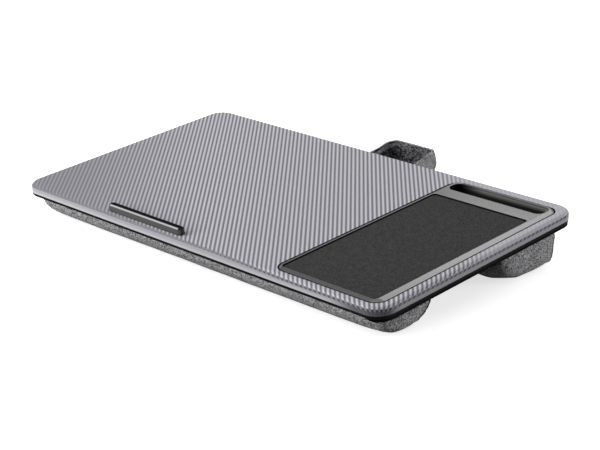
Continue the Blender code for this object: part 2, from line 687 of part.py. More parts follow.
def build_handle(build):
    """The strap on its axis, and the two tabs that carry it."""
    axis = build.add_empty("handle_axis", build.desk_frame, Vector((0, HANDLE_AXIS_Y, HANDLE_AXIS_Z)))
    axis.rotation_euler.x = math.radians(HANDLE_RISE_DEGREES)
    heather = make_material("strap_cloth", "77777A", 0.95)
    stations = strap_stations()
    bm = bmesh.new()
    rows = []
    for i, (x, y, half_height) in enumerate(stations):
        before = stations[max(i - 1, 0)]
        after = stations[min(i + 1, len(stations) - 1)]
        along = Vector((after[0] - before[0], after[1] - before[1])).normalized()
        section = strap_section((x, y), (along.y, -along.x), half_height)
        rows.append([bm.verts.new(p) for p in section])
    for first, second in zip(rows, rows[1:]):
        bridge(bm, first, second, closed=True)
    bm.faces.new(rows[0])
    bm.faces.new(rows[-1])
    build.add_part("handle_strap", to_mesh("strap", bm), heather, parent=axis)
    inner = HANDLE_SPAN / 2 - HANDLE_STRAP_THICKNESS - FIT_GAP
    for side, name in ((-1, "left"), (1, "right")):
        build_tab(build, name, side, inner, heather)


def build_tab(build, name, side, outer_x, material):
    """A folded tab: a flange against the base panel and a leaf beside the strap's root."""
    top = BACKING_TOP_Z
    leaf_bottom = HANDLE_AXIS_Z - HANDLE_STRAP_WIDTH / 2
    front = HANDLE_AXIS_Y - TAB_DEPTH / 2
    outline = (
        (outer_x, top),
        (outer_x - TAB_FLANGE_LENGTH, top),
        (outer_x - TAB_FLANGE_LENGTH, top - TAB_THICKNESS / 2),
        (outer_x - TAB_THICKNESS, top - TAB_THICKNESS / 2),
        (outer_x - TAB_THICKNESS, leaf_bottom),
        (outer_x, leaf_bottom),
    )
    bm = bmesh.new()
    face = bm.faces.new([bm.verts.new((side * x, front, z)) for x, z in outline])
    swept = bmesh.ops.extrude_face_region(bm, geom=[face])
    moved = [v for v in swept["geom"] if isinstance(v, bmesh.types.BMVert)]
    bmesh.ops.translate(bm, vec=(0, TAB_DEPTH, 0), verts=moved)
    build.add_part(f"handle_tab_{name}", to_mesh("tab", bm), material)


def lowest(bolster, tilt):
    """The height of a roll's lowest point when the desk leans by an angle."""
    points = bolster.ring(0, PROFILE_STEPS)
    return min(p.y * math.sin(tilt) + p.z * math.cos(tilt) for p in points)


def resting_tilt(front, rear):
    """The lean at which both rolls reach equally low, found by halving."""
    high = math.radians(WIDEST_LEAN_DEGREES)
    low = -high
    for _ in range(HALVINGS):
        tilt = (low + high) / 2
        if lowest(front, tilt) > lowest(rear, tilt):
            low = tilt
        else:
            high = tilt
    return tilt


def stand_on_floor(build, bolsters, covers):
    """Leans the desk on its rolls and cuts them flat where they rest."""
    tilt = resting_tilt(*bolsters)
    build.desk_frame.rotation_euler.x = tilt
    build.desk_frame.location.z = -REST_CUT - lowest(bolsters[0], tilt)
    size = (2 * BOARD_LENGTH, 2 * BOARD_LENGTH)
    mesh = slab("floor", size, (0, 0), -BOARD_WIDTH, 0, BOARD_CORNER_RADIUS)
    floor = build.add_cutter("floor", mesh)
    for cover in covers:
        cut = cover.modifiers.new("rest", "BOOLEAN")
        cut.operation = "DIFFERENCE"
        cut.object = floor


def centre_over_origin(build):
    """Moves the desk so that the middle of its footprint lies over the origin."""
    bpy.context.view_layer.update()
    graph = bpy.context.evaluated_depsgraph_get()
    corners = []
    for obj in build.parts.objects:
        if obj.type == "EMPTY":
            continue
        evaluated = obj.evaluated_get(graph)
        mesh = evaluated.to_mesh()
        corners += [evaluated.matrix_world @ v.co for v in mesh.vertices]
        evaluated.to_mesh_clear()
    for i in range(2):
        values = [corner[i] for corner in corners]
        build.desk_frame.location[i] -= (min(values) + max(values)) / 2


def main():
    clear_scene()
    build = Builder()
    build_laminate(build)
    build_core(build)
    build_base(build)
    build_tray(build)
    build_mouse_pad(build)
    build_ledge(build)
    build_screws(build)
    build_backing(build)
    bolsters, covers = build_bolsters(build)
    build_handle(build)
    stand_on_floor(build, bolsters, covers)
    centre_over_origin(build)


main()
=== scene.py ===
"""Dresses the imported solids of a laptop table.

A carbon-look board carries a ledge for a laptop and an inset tray with a mouse pad and a phone
slot. Two stuffed rolls lie underneath, and a carry handle stands out behind.

Metres throughout. Each piece is modelled in the desk's own frame, with its origin at the middle of
the board's top surface, X to the right and Y to the back, and stands in the row frame through that
frame's lean.
"""

from __future__ import annotations

import json
import logging
import math
from collections.abc import Sequence
from dataclasses import dataclass, field
from enum import Enum
from typing import Any

import bmesh
import bpy
from mathutils import Matrix, Vector, noise
from mathutils.bvhtree import BVHTree

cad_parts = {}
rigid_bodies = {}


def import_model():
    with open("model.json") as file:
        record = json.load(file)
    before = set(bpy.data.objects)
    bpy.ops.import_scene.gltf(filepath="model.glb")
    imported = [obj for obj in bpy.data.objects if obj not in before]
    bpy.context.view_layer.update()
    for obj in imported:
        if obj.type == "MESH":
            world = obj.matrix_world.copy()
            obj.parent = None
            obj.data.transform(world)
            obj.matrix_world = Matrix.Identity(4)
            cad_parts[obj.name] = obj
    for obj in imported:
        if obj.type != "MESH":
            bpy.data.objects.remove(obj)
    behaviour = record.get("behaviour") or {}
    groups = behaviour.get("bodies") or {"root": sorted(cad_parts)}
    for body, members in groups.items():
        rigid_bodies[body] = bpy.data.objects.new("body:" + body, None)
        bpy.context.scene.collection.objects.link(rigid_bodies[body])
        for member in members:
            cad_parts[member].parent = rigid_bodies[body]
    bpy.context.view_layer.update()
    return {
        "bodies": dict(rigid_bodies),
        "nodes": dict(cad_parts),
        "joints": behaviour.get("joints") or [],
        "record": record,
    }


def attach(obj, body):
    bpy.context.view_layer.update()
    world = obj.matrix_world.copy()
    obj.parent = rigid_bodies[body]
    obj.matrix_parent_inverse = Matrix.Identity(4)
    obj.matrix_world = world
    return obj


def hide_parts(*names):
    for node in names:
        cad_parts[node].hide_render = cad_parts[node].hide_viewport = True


log = logging.getLogger("laptop_table")

MM = 0.001
CRISP = 50.0  # degrees: a rigid piece's edge that turns further than this stays sharp

Ring = list[bmesh.types.BMVert]
Span = tuple[float, float]  # where a change starts, and where it is complete

# Settings that many nodes share
SMOOTH = {"interpolation_type": "SMOOTHSTEP"}
COLOURS = {"data_type": "RGBA"}
NUMBERS = {"data_type": "FLOAT"}
ADD = {"operation": "ADD"}
SUBTRACT = {"operation": "SUBTRACT"}
MULTIPLY = {"operation": "MULTIPLY"}
MULTIPLY_ADD = {"operation": "MULTIPLY_ADD"}
FLOOR = {"operation": "FLOOR"}

# The Mix node's sockets, which have the same names for every type of data
COLOUR_A, COLOUR_B, COLOUR_OUT = 6, 7, 2
NUMBER_A, NUMBER_B = 2, 3


def linear_colour(hex_colour: str) -> tuple[float, float, float, float]:
    """Turns an sRGB hex colour to the linear colour that a shader reads.

    Args:
        hex_colour: six hex digits.

    Returns:
        Red, green, blue and an alpha of 1.
    """
    channels = []
    for start in (0, 2, 4):
        value = int(hex_colour[start : start + 2], 16) / 255
        channels.append(value / 12.92 if value <= 0.04045 else ((value + 0.055) / 1.055) ** 2.4)
    return (channels[0], channels[1], channels[2], 1.0)


def add_node(
    tree: bpy.types.NodeTree,
    kind: str,
    settings: dict[str, Any] | None = None,
    inputs: dict[str | int, Any] | None = None,
) -> bpy.types.Node:
    """Adds a node with its settings and links.

    Args:
        tree: the tree of a material or of the world.
        kind: Blender's name of the node type, without its "ShaderNode" in front.
        settings: attributes of the node.
        inputs: for each input, by name or number, a value or the socket that feeds it.

    Returns:
        The new node.
    """
    node = tree.nodes.new(f"ShaderNode{kind}")
    for name, value in (settings or {}).items():
        setattr(node, name, value)
    for key, value in (inputs or {}).items():
        if isinstance(value, bpy.types.NodeSocket):
            tree.links.new(value, node.inputs[key])
        else:
            node.inputs[key].default_value = value
    return node


# Finishes


@dataclass(frozen=True)
class Finish:
    """A surface: what it is made of and how that was made."""

    name: str
    colour: str
    roughness: float
    metallic: float = 0.0
    ior: float = 1.5
    sheen: float = 0.0
    specular: float = 0.5
    cloud: float = 25 * MM  # size of the faint clouds in a plain finish's gloss
    uneven: float = 0.1  # how much they change its roughness, of 1

    def material(self) -> bpy.types.Material:
        """Makes the material once and returns it from then on.

        Returns:
            The finished material.
        """
        known = bpy.data.materials.get(self.name)
        if known:
            return known
        material = bpy.data.materials.new(self.name)
        material.use_nodes = True
        tree = material.node_tree
        shader = tree.nodes["Principled BSDF"]
        shader.inputs["Base Color"].default_value = linear_colour(self.colour)
        shader.inputs["Roughness"].default_value = self.roughness
        shader.inputs["Metallic"].default_value = self.metallic
        shader.inputs["IOR"].default_value = self.ior
        shader.inputs["Sheen Weight"].default_value = self.sheen
        shader.inputs["Specular IOR Level"].default_value = self.specular
        self.pattern(tree, shader)
        return material

    def pattern(self, tree: bpy.types.NodeTree, shader: bpy.types.Node) -> None:
        """Adds what varies over the surface. A plain finish has a faint unevenness of its gloss.

        Args:
            tree: the material's tree.
            shader: its Principled node.
        """
        place = add_node(tree, "TexCoord")
        cloud = add_node(
            tree,
            "TexNoise",
            inputs={"Vector": place.outputs["Object"], "Scale": 1 / self.cloud},
        )
        spread = add_node(
            tree,
            "MapRange",
            inputs={
                "Value": cloud.outputs["Fac"],
                "To Min": self.roughness * (1 - self.uneven),
                "To Max": self.roughness * (1 + self.uneven),
            },
        )
        tree.links.new(spread.outputs["Result"], shader.inputs["Roughness"])


@dataclass(frozen=True)
class CarbonLookFilm(Finish):
    """PVC film with a printed and pressed 2 x 2 twill, drawn over the board's edges when hot, with
    painted light and painted shade over its top, bend and side.
    """

    dark: str = "77767D"
    light: str = "CBC9D2"
    # painted reflection: the stripes' tones over the bend, swapped
    bend_reflection_dark: str = "35353A"
    bend_reflection_light: str = "8B8B91"
    # painted shade: the colour of the long sides' darkened bend
    bend: str = "68676D"
    side: str = "A8A7AC"
    side_painted_light: str = "C8C7CC"
    side_corner_shade: str = "47464B"
    contrast: float = 1.8
    tow_across: float = 1.54 * MM  # from stripe to stripe along the board
    tow_deep: float = 1.69 * MM  # and from front to back
    soft_share: float = 0.62  # how far the cells blur to one soft stripe, seen from a distance
    fibres: float = 7.0  # streaks across one tow
    fibre_tone: float = 0.22
    middle_tone: float = 0.61  # halfway between the dark tows and the light ones
    left_painted_shine: float = 0.3  # painted shade: how much of their shine the light tows keep in the front left corner
    left_corner: Span = (-0.38, -0.10)  # X + Y, from that corner inwards
    far_light_fade: float = 0.88  # painted light: how much of the stripes is lost in the far right corner
    far_corner: Span = (0.22, 0.30)  # X + Y, towards that corner
    far_light_tone: float = 0.72  # what the stripes fade to, from dark to light
    short_side: Span = (0.262, 0.266)  # how far out the short sides' bends lie
    short_side_drop: float = 0.5 * MM  # how much further down the stripes reach there
    before_tray: Span = (0.05, 0.17)  # X, where they come to lie in front of the tray
    before_tray_drop: float = 1.7 * MM  # how much further down they reach there
    swap_drop_share: float = 0.6  # of which this much also moves the height where they swap
    swap: Span = (-1.1 * MM, -1.6 * MM)  # heights over which a painted reflection swaps the stripes
    swap_seen: Span = (-0.22, 0.20)  # X, from no swap to a full one
    bend_shade_span: Span = (-0.05 * MM, -0.8 * MM)  # heights over which painted shade darkens the front bend
    bend_shade_share: float = 0.75
    stretched: Span = (-2.2 * MM, -3.2 * MM)  # heights over which the film comes out plain
    stretched_share: float = 0.9
    glow: Span = (-3.8 * MM, -8.2 * MM)  # heights over which painted light brightens the long side
    near_right: Span = (0.195, 0.24)  # X, towards the near right corner's painted shade
    near_front: Span = (-0.120, -0.142)  # and Y
    corner_share: float = 0.9
    gloss_swing: float = 0.05
    press_depth: float = 0.08 * MM

    def pattern(self, tree: bpy.types.NodeTree, shader: bpy.types.Node) -> None:
        """Draws the tows, and paints how the light takes them over the top, the bend and the side.

        Args:
            tree: the material's tree.
            shader: its Principled node.
        """
        place = add_node(tree, "TexCoord")
        spot = add_node(tree, "SeparateXYZ", inputs={0: place.outputs["Object"]})
        soft, stripe, toned = self.tows(tree)
        # On the short sides, and in front of the tray, the stripes reach further down
        out = add_node(tree, "Math", {"operation": "ABSOLUTE"}, {0: spot.outputs["X"]})
        short_side = add_node(
            tree,
            "MapRange",
            SMOOTH,
            {
                "Value": out.outputs[0],
                "From Min": self.short_side[0],
                "From Max": self.short_side[1],
            },
        )
        long_side = add_node(tree, "Math", SUBTRACT, {0: 1.0, 1: short_side.outputs[0]})
        before_tray = add_node(
            tree,
            "MapRange",
            SMOOTH,
            {
                "Value": spot.outputs["X"],
                "From Min": self.before_tray[0],
                "From Max": self.before_tray[1],
                "To Max": self.before_tray_drop,
            },
        )
        top = self.top_colour(tree, spot, toned)
        dimmed = self.front_bend_shade(tree, spot, before_tray, long_side)
        over_edge = add_node(
            tree,
            "Mix",
            COLOURS,
            {
                "Factor": dimmed.outputs[0],
                COLOUR_A: top.outputs[COLOUR_OUT],
                COLOUR_B: linear_colour(self.bend),
            },
        )
        swap, swapped = self.painted_reflection_swap(tree, spot, before_tray, soft)
        edge = add_node(
            tree,
            "Mix",
            COLOURS,
            {
                "Factor": swap.outputs[0],
                COLOUR_A: over_edge.outputs[COLOUR_OUT],
                COLOUR_B: swapped.outputs[COLOUR_OUT],
            },
        )
        side = self.side_colour(tree, spot, long_side)
        lowered = add_node(tree, "Math", ADD, {0: before_tray.outputs[0], 1: spot.outputs["Z"]})
        height = add_node(
            tree,
            "Math",
            MULTIPLY_ADD,
            {0: short_side.outputs[0], 1: self.short_side_drop, 2: lowered.outputs[0]},
        )
        stretched = add_node(
            tree,
            "MapRange",
            SMOOTH,
            {
                "Value": height.outputs[0],
                "From Min": self.stretched[0],
                "From Max": self.stretched[1],
                "To Max": self.stretched_share,
            },
        )
        whole = add_node(
            tree,
            "Mix",
            COLOURS,
            {
                "Factor": stretched.outputs[0],
                COLOUR_A: edge.outputs[COLOUR_OUT],
                COLOUR_B: side.outputs[COLOUR_OUT],
            },
        )
        tree.links.new(whole.outputs[COLOUR_OUT], shader.inputs["Base Color"])
        rough = add_node(
            tree,
            "MapRange",
            inputs={
                "Value": stripe.outputs[0],
                "To Min": self.roughness + self.gloss_swing,
                "To Max": self.roughness - self.gloss_swing,
            },
        )
        tree.links.new(rough.outputs["Result"], shader.inputs["Roughness"])
        bump = add_node(
            tree,
            "Bump",
            inputs={"Height": stripe.outputs[0], "Strength": 0.25, "Distance": self.press_depth},
        )
        tree.links.new(bump.outputs["Normal"], shader.inputs["Normal"])

    def tows(
        self, tree: bpy.types.NodeTree
    ) -> tuple[bpy.types.Node, bpy.types.Node, bpy.types.Node]:
        """Draws the tows as cells that pass over and under by twos: slanting stripes to the eye.

        Args:
            tree: the material's tree.

        Returns:
            The soft stripe alone, the stripe with its cells, and that with its fibres.
        """
        flat = add_node(tree, "UVMap", {"uv_map": "film"})
        split = add_node(tree, "SeparateXYZ", inputs={0: flat.outputs["UV"]})
        across = add_node(
            tree, "Math", {"operation": "DIVIDE"}, {0: split.outputs["X"], 1: self.tow_across}
        )
        deep = add_node(
            tree, "Math", {"operation": "DIVIDE"}, {0: split.outputs["Y"], 1: self.tow_deep}
        )
        whole_across = add_node(tree, "Math", FLOOR, {0: across.outputs[0]})
        whole_deep = add_node(tree, "Math", FLOOR, {0: deep.outputs[0]})
        count = add_node(tree, "Math", ADD, {0: whole_across.outputs[0], 1: whole_deep.outputs[0]})
        step = add_node(
            tree, "Math", {"operation": "FLOORED_MODULO"}, {0: count.outputs[0], 1: 4.0}
        )
        over = add_node(tree, "Math", {"operation": "LESS_THAN"}, {0: step.outputs[0], 1: 2.0})
        # The soft stripe that the eye makes of the cells: one wave for every four of them
        run = add_node(tree, "Math", ADD, {0: across.outputs[0], 1: deep.outputs[0]})
        turn = add_node(
            tree, "Math", MULTIPLY_ADD, {0: run.outputs[0], 1: math.pi / 2, 2: -math.pi / 4}
        )
        wave = add_node(tree, "Math", {"operation": "SINE"}, {0: turn.outputs[0]})
        soft = add_node(tree, "Math", MULTIPLY_ADD, {0: wave.outputs[0], 1: 0.5, 2: 0.5})
        stripe = add_node(
            tree,
            "Mix",
            NUMBERS,
            {"Factor": self.soft_share, NUMBER_A: over.outputs[0], NUMBER_B: soft.outputs[0]},
        )
        # Fibres: fine streaks along each tow
        fine = add_node(tree, "Math", MULTIPLY, {0: across.outputs[0], 1: self.fibres})
        along = add_node(tree, "CombineXYZ", inputs={"X": fine.outputs[0], "Y": deep.outputs[0]})
        streak = add_node(
            tree, "TexNoise", inputs={"Vector": along.outputs[0], "Scale": 1.0, "Detail": 1.0}
        )
        toned = add_node(
            tree,
            "Math",
            MULTIPLY_ADD,
            {0: streak.outputs["Fac"], 1: self.fibre_tone, 2: stripe.outputs[0]},
        )
        return soft, stripe, toned

    def top_colour(
        self, tree: bpy.types.NodeTree, spot: bpy.types.Node, toned: bpy.types.Node
    ) -> bpy.types.Node:
        """Colours the flat top, with painted shade in its front left corner and painted light
        fading its far right one.

        Args:
            tree: the material's tree.
            spot: the place on the desk, as X, Y and Z.
            toned: the stripes with their fibres.

        Returns:
            The Mix node that gives the colour.
        """
        half = 0.5 / self.contrast
        strong = add_node(
            tree,
            "MapRange",
            {"clamp": True},
            {
                "Value": toned.outputs[0],
                "From Min": self.middle_tone - half,
                "From Max": self.middle_tone + half,
            },
        )
        # Painted shade: the light tows dim towards the front left corner
        diagonal = add_node(tree, "Math", ADD, {0: spot.outputs["X"], 1: spot.outputs["Y"]})
        shine = add_node(
            tree,
            "MapRange",
            SMOOTH,
            {
                "Value": diagonal.outputs[0],
                "From Min": self.left_corner[0],
                "From Max": self.left_corner[1],
                "To Min": self.left_painted_shine,
            },
        )
        lit = add_node(tree, "Math", MULTIPLY, {0: strong.outputs[0], 1: shine.outputs[0]})
        # Painted light: in the far right corner the stripes fade, as both sets of tows catch the
        # light alike
        fade = add_node(
            tree,
            "MapRange",
            SMOOTH,
            {
                "Value": diagonal.outputs[0],
                "From Min": self.far_corner[0],
                "From Max": self.far_corner[1],
                "To Max": self.far_light_fade,
            },
        )
        shade = add_node(
            tree,
            "Mix",
            NUMBERS,
            {"Factor": fade.outputs[0], NUMBER_A: lit.outputs[0], NUMBER_B: self.far_light_tone},
        )
        return add_node(
            tree,
            "Mix",
            {"data_type": "RGBA", "clamp_factor": True},
            {
                "Factor": shade.outputs[0],
                COLOUR_A: linear_colour(self.dark),
                COLOUR_B: linear_colour(self.light),
            },
        )

    def front_bend_shade(
        self,
        tree: bpy.types.NodeTree,
        spot: bpy.types.Node,
        before_tray: bpy.types.Node,
        long_side: bpy.types.Node,
    ) -> bpy.types.Node:
        """Finds where painted shade darkens the long sides' bend, which reflects the dark part of
        the room.

        Args:
            tree: the material's tree.
            spot: the place on the desk, as X, Y and Z.
            before_tray: how much further down the stripes reach in front of the tray.
            long_side: 1 along the long sides and 0 along the short ones.

        Returns:
            The node that gives how dark the bend is.
        """
        height = add_node(tree, "Math", ADD, {0: before_tray.outputs[0], 1: spot.outputs["Z"]})
        rolled = add_node(
            tree,
            "MapRange",
            SMOOTH,
            {
                "Value": height.outputs[0],
                "From Min": self.bend_shade_span[0],
                "From Max": self.bend_shade_span[1],
                "To Max": self.bend_shade_share,
            },
        )
        return add_node(tree, "Math", MULTIPLY, {0: rolled.outputs[0], 1: long_side.outputs[0]})

    def painted_reflection_swap(
        self,
        tree: bpy.types.NodeTree,
        spot: bpy.types.Node,
        before_tray: bpy.types.Node,
        soft: bpy.types.Node,
    ) -> tuple[bpy.types.Node, bpy.types.Node]:
        """Paints the stripes swapped over the bend, a painted reflection where the other set of
        tows catches the light.

        Args:
            tree: the material's tree.
            spot: the place on the desk, as X, Y and Z.
            before_tray: how much further down the stripes reach in front of the tray.
            soft: the soft stripe.

        Returns:
            The node that says how much of the swap shows, and the one that gives its colour.
        """
        swapped = add_node(
            tree,
            "Mix",
            {"data_type": "RGBA", "clamp_factor": True},
            {
                "Factor": soft.outputs[0],
                COLOUR_A: linear_colour(self.bend_reflection_light),
                COLOUR_B: linear_colour(self.bend_reflection_dark),
            },
        )
        height = add_node(
            tree,
            "Math",
            MULTIPLY_ADD,
            {0: before_tray.outputs[0], 1: self.swap_drop_share, 2: spot.outputs["Z"]},
        )
        low = add_node(
            tree,
            "MapRange",
            SMOOTH,
            {
                "Value": height.outputs[0],
                "From Min": self.swap[0],
                "From Max": self.swap[1],
            },
        )
        seen = add_node(
            tree,
            "MapRange",
            SMOOTH,
            {
                "Value": spot.outputs["X"],
                "From Min": self.swap_seen[0],
                "From Max": self.swap_seen[1],
            },
        )
        swap = add_node(tree, "Math", MULTIPLY, {0: low.outputs[0], 1: seen.outputs[0]})
        return swap, swapped

    def side_colour(
        self, tree: bpy.types.NodeTree, spot: bpy.types.Node, long_side: bpy.types.Node
    ) -> bpy.types.Node:
        """Colours the side, where the film was stretched most and comes out plain.

        Painted light brightens the long side downwards, and painted shade darkens it round the near
        right corner.

        Args:
            tree: the material's tree.
            spot: the place on the desk, as X, Y and Z.
            long_side: 1 along the long sides and 0 along the short ones.

        Returns:
            The Mix node that gives the colour.
        """
        # Painted light: the long side brightens downwards
        low = add_node(
            tree,
            "MapRange",
            SMOOTH,
            {
                "Value": spot.outputs["Z"],
                "From Min": self.glow[0],
                "From Max": self.glow[1],
            },
        )
        glow = add_node(tree, "Math", MULTIPLY, {0: low.outputs[0], 1: long_side.outputs[0]})
        bright_side = add_node(
            tree,
            "Mix",
            COLOURS,
            {
                "Factor": glow.outputs[0],
                COLOUR_A: linear_colour(self.side),
                COLOUR_B: linear_colour(self.side_painted_light),
            },
        )
        # Painted shade: the side darkens round the near right corner
        near_right = add_node(
            tree,
            "MapRange",
            SMOOTH,
            {
                "Value": spot.outputs["X"],
                "From Min": self.near_right[0],
                "From Max": self.near_right[1],
            },
        )
        near_front = add_node(
            tree,
            "MapRange",
            SMOOTH,
            {
                "Value": spot.outputs["Y"],
                "From Min": self.near_front[0],
                "From Max": self.near_front[1],
                "To Max": self.corner_share,
            },
        )
        corner = add_node(
            tree, "Math", MULTIPLY, {0: near_right.outputs[0], 1: near_front.outputs[0]}
        )
        return add_node(
            tree,
            "Mix",
            COLOURS,
            {
                "Factor": corner.outputs[0],
                COLOUR_A: bright_side.outputs[COLOUR_OUT],
                COLOUR_B: linear_colour(self.side_corner_shade),
            },
        )


@dataclass(frozen=True)
class SilverPaint(Finish):
    """Satin silver lacquer sprayed on moulded ABS: fine flakes under a thin clear coat."""

    flake: float = 0.5 * MM  # real flakes are far finer, drawn coarser so that they show
    flake_gloss: Span = (-0.05, 0.06)  # how much they take from the roughness, or add to it
    peel: float = MM / 0.26  # the orange peel has a wave every 4 mm or so
    peel_depth: float = 0.05 * MM

    def pattern(self, tree: bpy.types.NodeTree, shader: bpy.types.Node) -> None:
        """Sprinkles the flakes into the gloss and a slight orange peel into the surface.

        Args:
            tree: the material's tree.
            shader: its Principled node.
        """
        place = add_node(tree, "TexCoord")
        flakes = add_node(
            tree,
            "TexNoise",
            inputs={"Vector": place.outputs["Object"], "Scale": 1 / self.flake, "Detail": 2.0},
        )
        gloss = add_node(
            tree,
            "MapRange",
            inputs={
                "Value": flakes.outputs["Fac"],
                "From Min": 0.3,
                "From Max": 0.7,
                "To Min": self.roughness + self.flake_gloss[0],
                "To Max": self.roughness + self.flake_gloss[1],
            },
        )
        tree.links.new(gloss.outputs["Result"], shader.inputs["Roughness"])
        peel = add_node(
            tree,
            "TexNoise",
            inputs={"Vector": place.outputs["Object"], "Scale": 1 / self.peel, "Detail": 1.0},
        )
        bump = add_node(
            tree,
            "Bump",
            inputs={"Height": peel.outputs["Fac"], "Strength": 0.12, "Distance": self.peel_depth},
        )
        tree.links.new(bump.outputs["Normal"], shader.inputs["Normal"])


@dataclass(frozen=True)
class TroughPaintedLight(Finish):
    """Black plastic with painted light, grey near the trough's mouth and black further down.

    It stays black at its left end, and in front at the pad's recess; a painted shadow lies under
    the lip.
    """

    # painted light: the grey near the trough's mouth
    mouth_light: str = "8A8A86"
    painted_light: Span = (0.130, 0.165)  # X, from the black left end to where the painted light shows
    depth: Span = (-8.0 * MM, 1.5 * MM)  # heights from black to full painted light
    trough_start: Span = (0.100, 0.106)  # Y, from the pad's recess, left black, to the trough
    lip: Span = (-1.5 * MM, -1.1 * MM)  # heights right under the trough's lip
    lip_shadow_share: float = 0.55  # painted shadow under the lip: how much of the painted light it takes away there

    def pattern(self, tree: bpy.types.NodeTree, shader: bpy.types.Node) -> None:
        """Lets the painted light fade to the left and downwards, takes it away under the lip as
        painted shadow, and keeps it off the pad's recess.

        Args:
            tree: the material's tree.
            shader: its Principled node.
        """
        place = add_node(tree, "TexCoord")
        spot = add_node(tree, "SeparateXYZ", inputs={0: place.outputs["Object"]})
        shares = [
            add_node(
                tree,
                "MapRange",
                SMOOTH,
                {"Value": spot.outputs[axis], "From Min": span[0], "From Max": span[1]},
            )
            for axis, span in (
                ("X", self.painted_light),
                ("Z", self.depth),
                ("Y", self.trough_start),
                ("Z", self.lip),
            )
        ]
        along, high, behind_pad, at_lip = (share.outputs[0] for share in shares)
        amount = add_node(tree, "Math", MULTIPLY, {0: along, 1: high})
        shaded_lip = add_node(tree, "Math", MULTIPLY_ADD, {0: at_lip, 1: -self.lip_shadow_share, 2: 1.0})
        thinned = add_node(tree, "Math", MULTIPLY, {0: amount.outputs[0], 1: shaded_lip.outputs[0]})
        painted_light = add_node(tree, "Math", MULTIPLY, {0: thinned.outputs[0], 1: behind_pad})
        colour = add_node(
            tree,
            "Mix",
            COLOURS,
            {
                "Factor": painted_light.outputs[0],
                COLOUR_A: linear_colour(self.colour),
                COLOUR_B: linear_colour(self.mouth_light),
            },
        )
        tree.links.new(colour.outputs[COLOUR_OUT], shader.inputs["Base Color"])


@dataclass(frozen=True)
class KnitCloth(Finish):
    """Cloth knitted from mixed light and dark yarn, so that it looks mottled close by."""

    dark: str = "2B2B2D"
    light: str = "D6D6D8"
    fleck: float = 0.8 * MM  # length of a yarn's light or dark stretch
    rib: float = 1.0 * MM  # real wales are finer, drawn as coarse as they need to show
    relief: float = 0.35 * MM
    contrast: float = 1.0
    stretch_share: float = 0.32  # how much of the mottle comes as sharp stretches of one yarn
    cloud_share: float = 0.12  # and how much in clouds ten flecks wide
    middle: float = 0.515  # halfway between the dark yarn and the light one
    half_band: float = 0.13  # how soon the one turns into the other
    loop_depth: float = 0.8  # of the relief, the rest being the mottle's

    def pattern(self, tree: bpy.types.NodeTree, shader: bpy.types.Node) -> None:
        """Mixes the two yarns in flecks and raises the loops.

        Args:
            tree: the material's tree.
            shader: its Principled node.
        """
        place = add_node(tree, "TexCoord")
        fine = add_node(
            tree,
            "TexNoise",
            inputs={
                "Vector": place.outputs["Object"],
                "Scale": 1 / self.fleck,
                "Detail": 3.0,
                "Roughness": 0.75,
            },
        )
        stretches = add_node(
            tree,
            "TexVoronoi",
            inputs={"Vector": place.outputs["Object"], "Scale": 1 / self.fleck},
        )
        lot = add_node(tree, "SeparateColor", inputs={0: stretches.outputs["Color"]})
        clouds = add_node(
            tree,
            "TexNoise",
            inputs={"Vector": place.outputs["Object"], "Scale": 0.1 / self.fleck, "Detail": 2.0},
        )
        mottled = add_node(
            tree,
            "Mix",
            NUMBERS,
            {"Factor": self.stretch_share, NUMBER_A: fine.outputs["Fac"], NUMBER_B: lot.outputs[0]},
        )
        mixed = add_node(
            tree,
            "Mix",
            NUMBERS,
            {
                "Factor": self.cloud_share,
                NUMBER_A: mottled.outputs[0],
                NUMBER_B: clouds.outputs["Fac"],
            },
        )
        half = self.half_band / self.contrast
        yarn = add_node(
            tree,
            "MapRange",
            inputs={
                "Value": mixed.outputs[0],
                "From Min": self.middle - half,
                "From Max": self.middle + half,
            },
        )
        colour = add_node(
            tree,
            "Mix",
            COLOURS,
            {
                "Factor": yarn.outputs["Result"],
                COLOUR_A: linear_colour(self.dark),
                COLOUR_B: linear_colour(self.light),
            },
        )
        tree.links.new(colour.outputs[COLOUR_OUT], shader.inputs["Base Color"])
        loops = add_node(
            tree,
            "TexVoronoi",
            {"feature": "SMOOTH_F1"},
            {"Vector": place.outputs["Object"], "Scale": 1 / self.rib, "Smoothness": 0.6},
        )
        relief = add_node(
            tree,
            "Math",
            MULTIPLY_ADD,
            {0: loops.outputs["Distance"], 1: -self.loop_depth, 2: mixed.outputs[0]},
        )
        bump = add_node(
            tree,
            "Bump",
            inputs={"Height": relief.outputs[0], "Strength": 0.7, "Distance": self.relief},
        )
        tree.links.new(bump.outputs["Normal"], shader.inputs["Normal"])


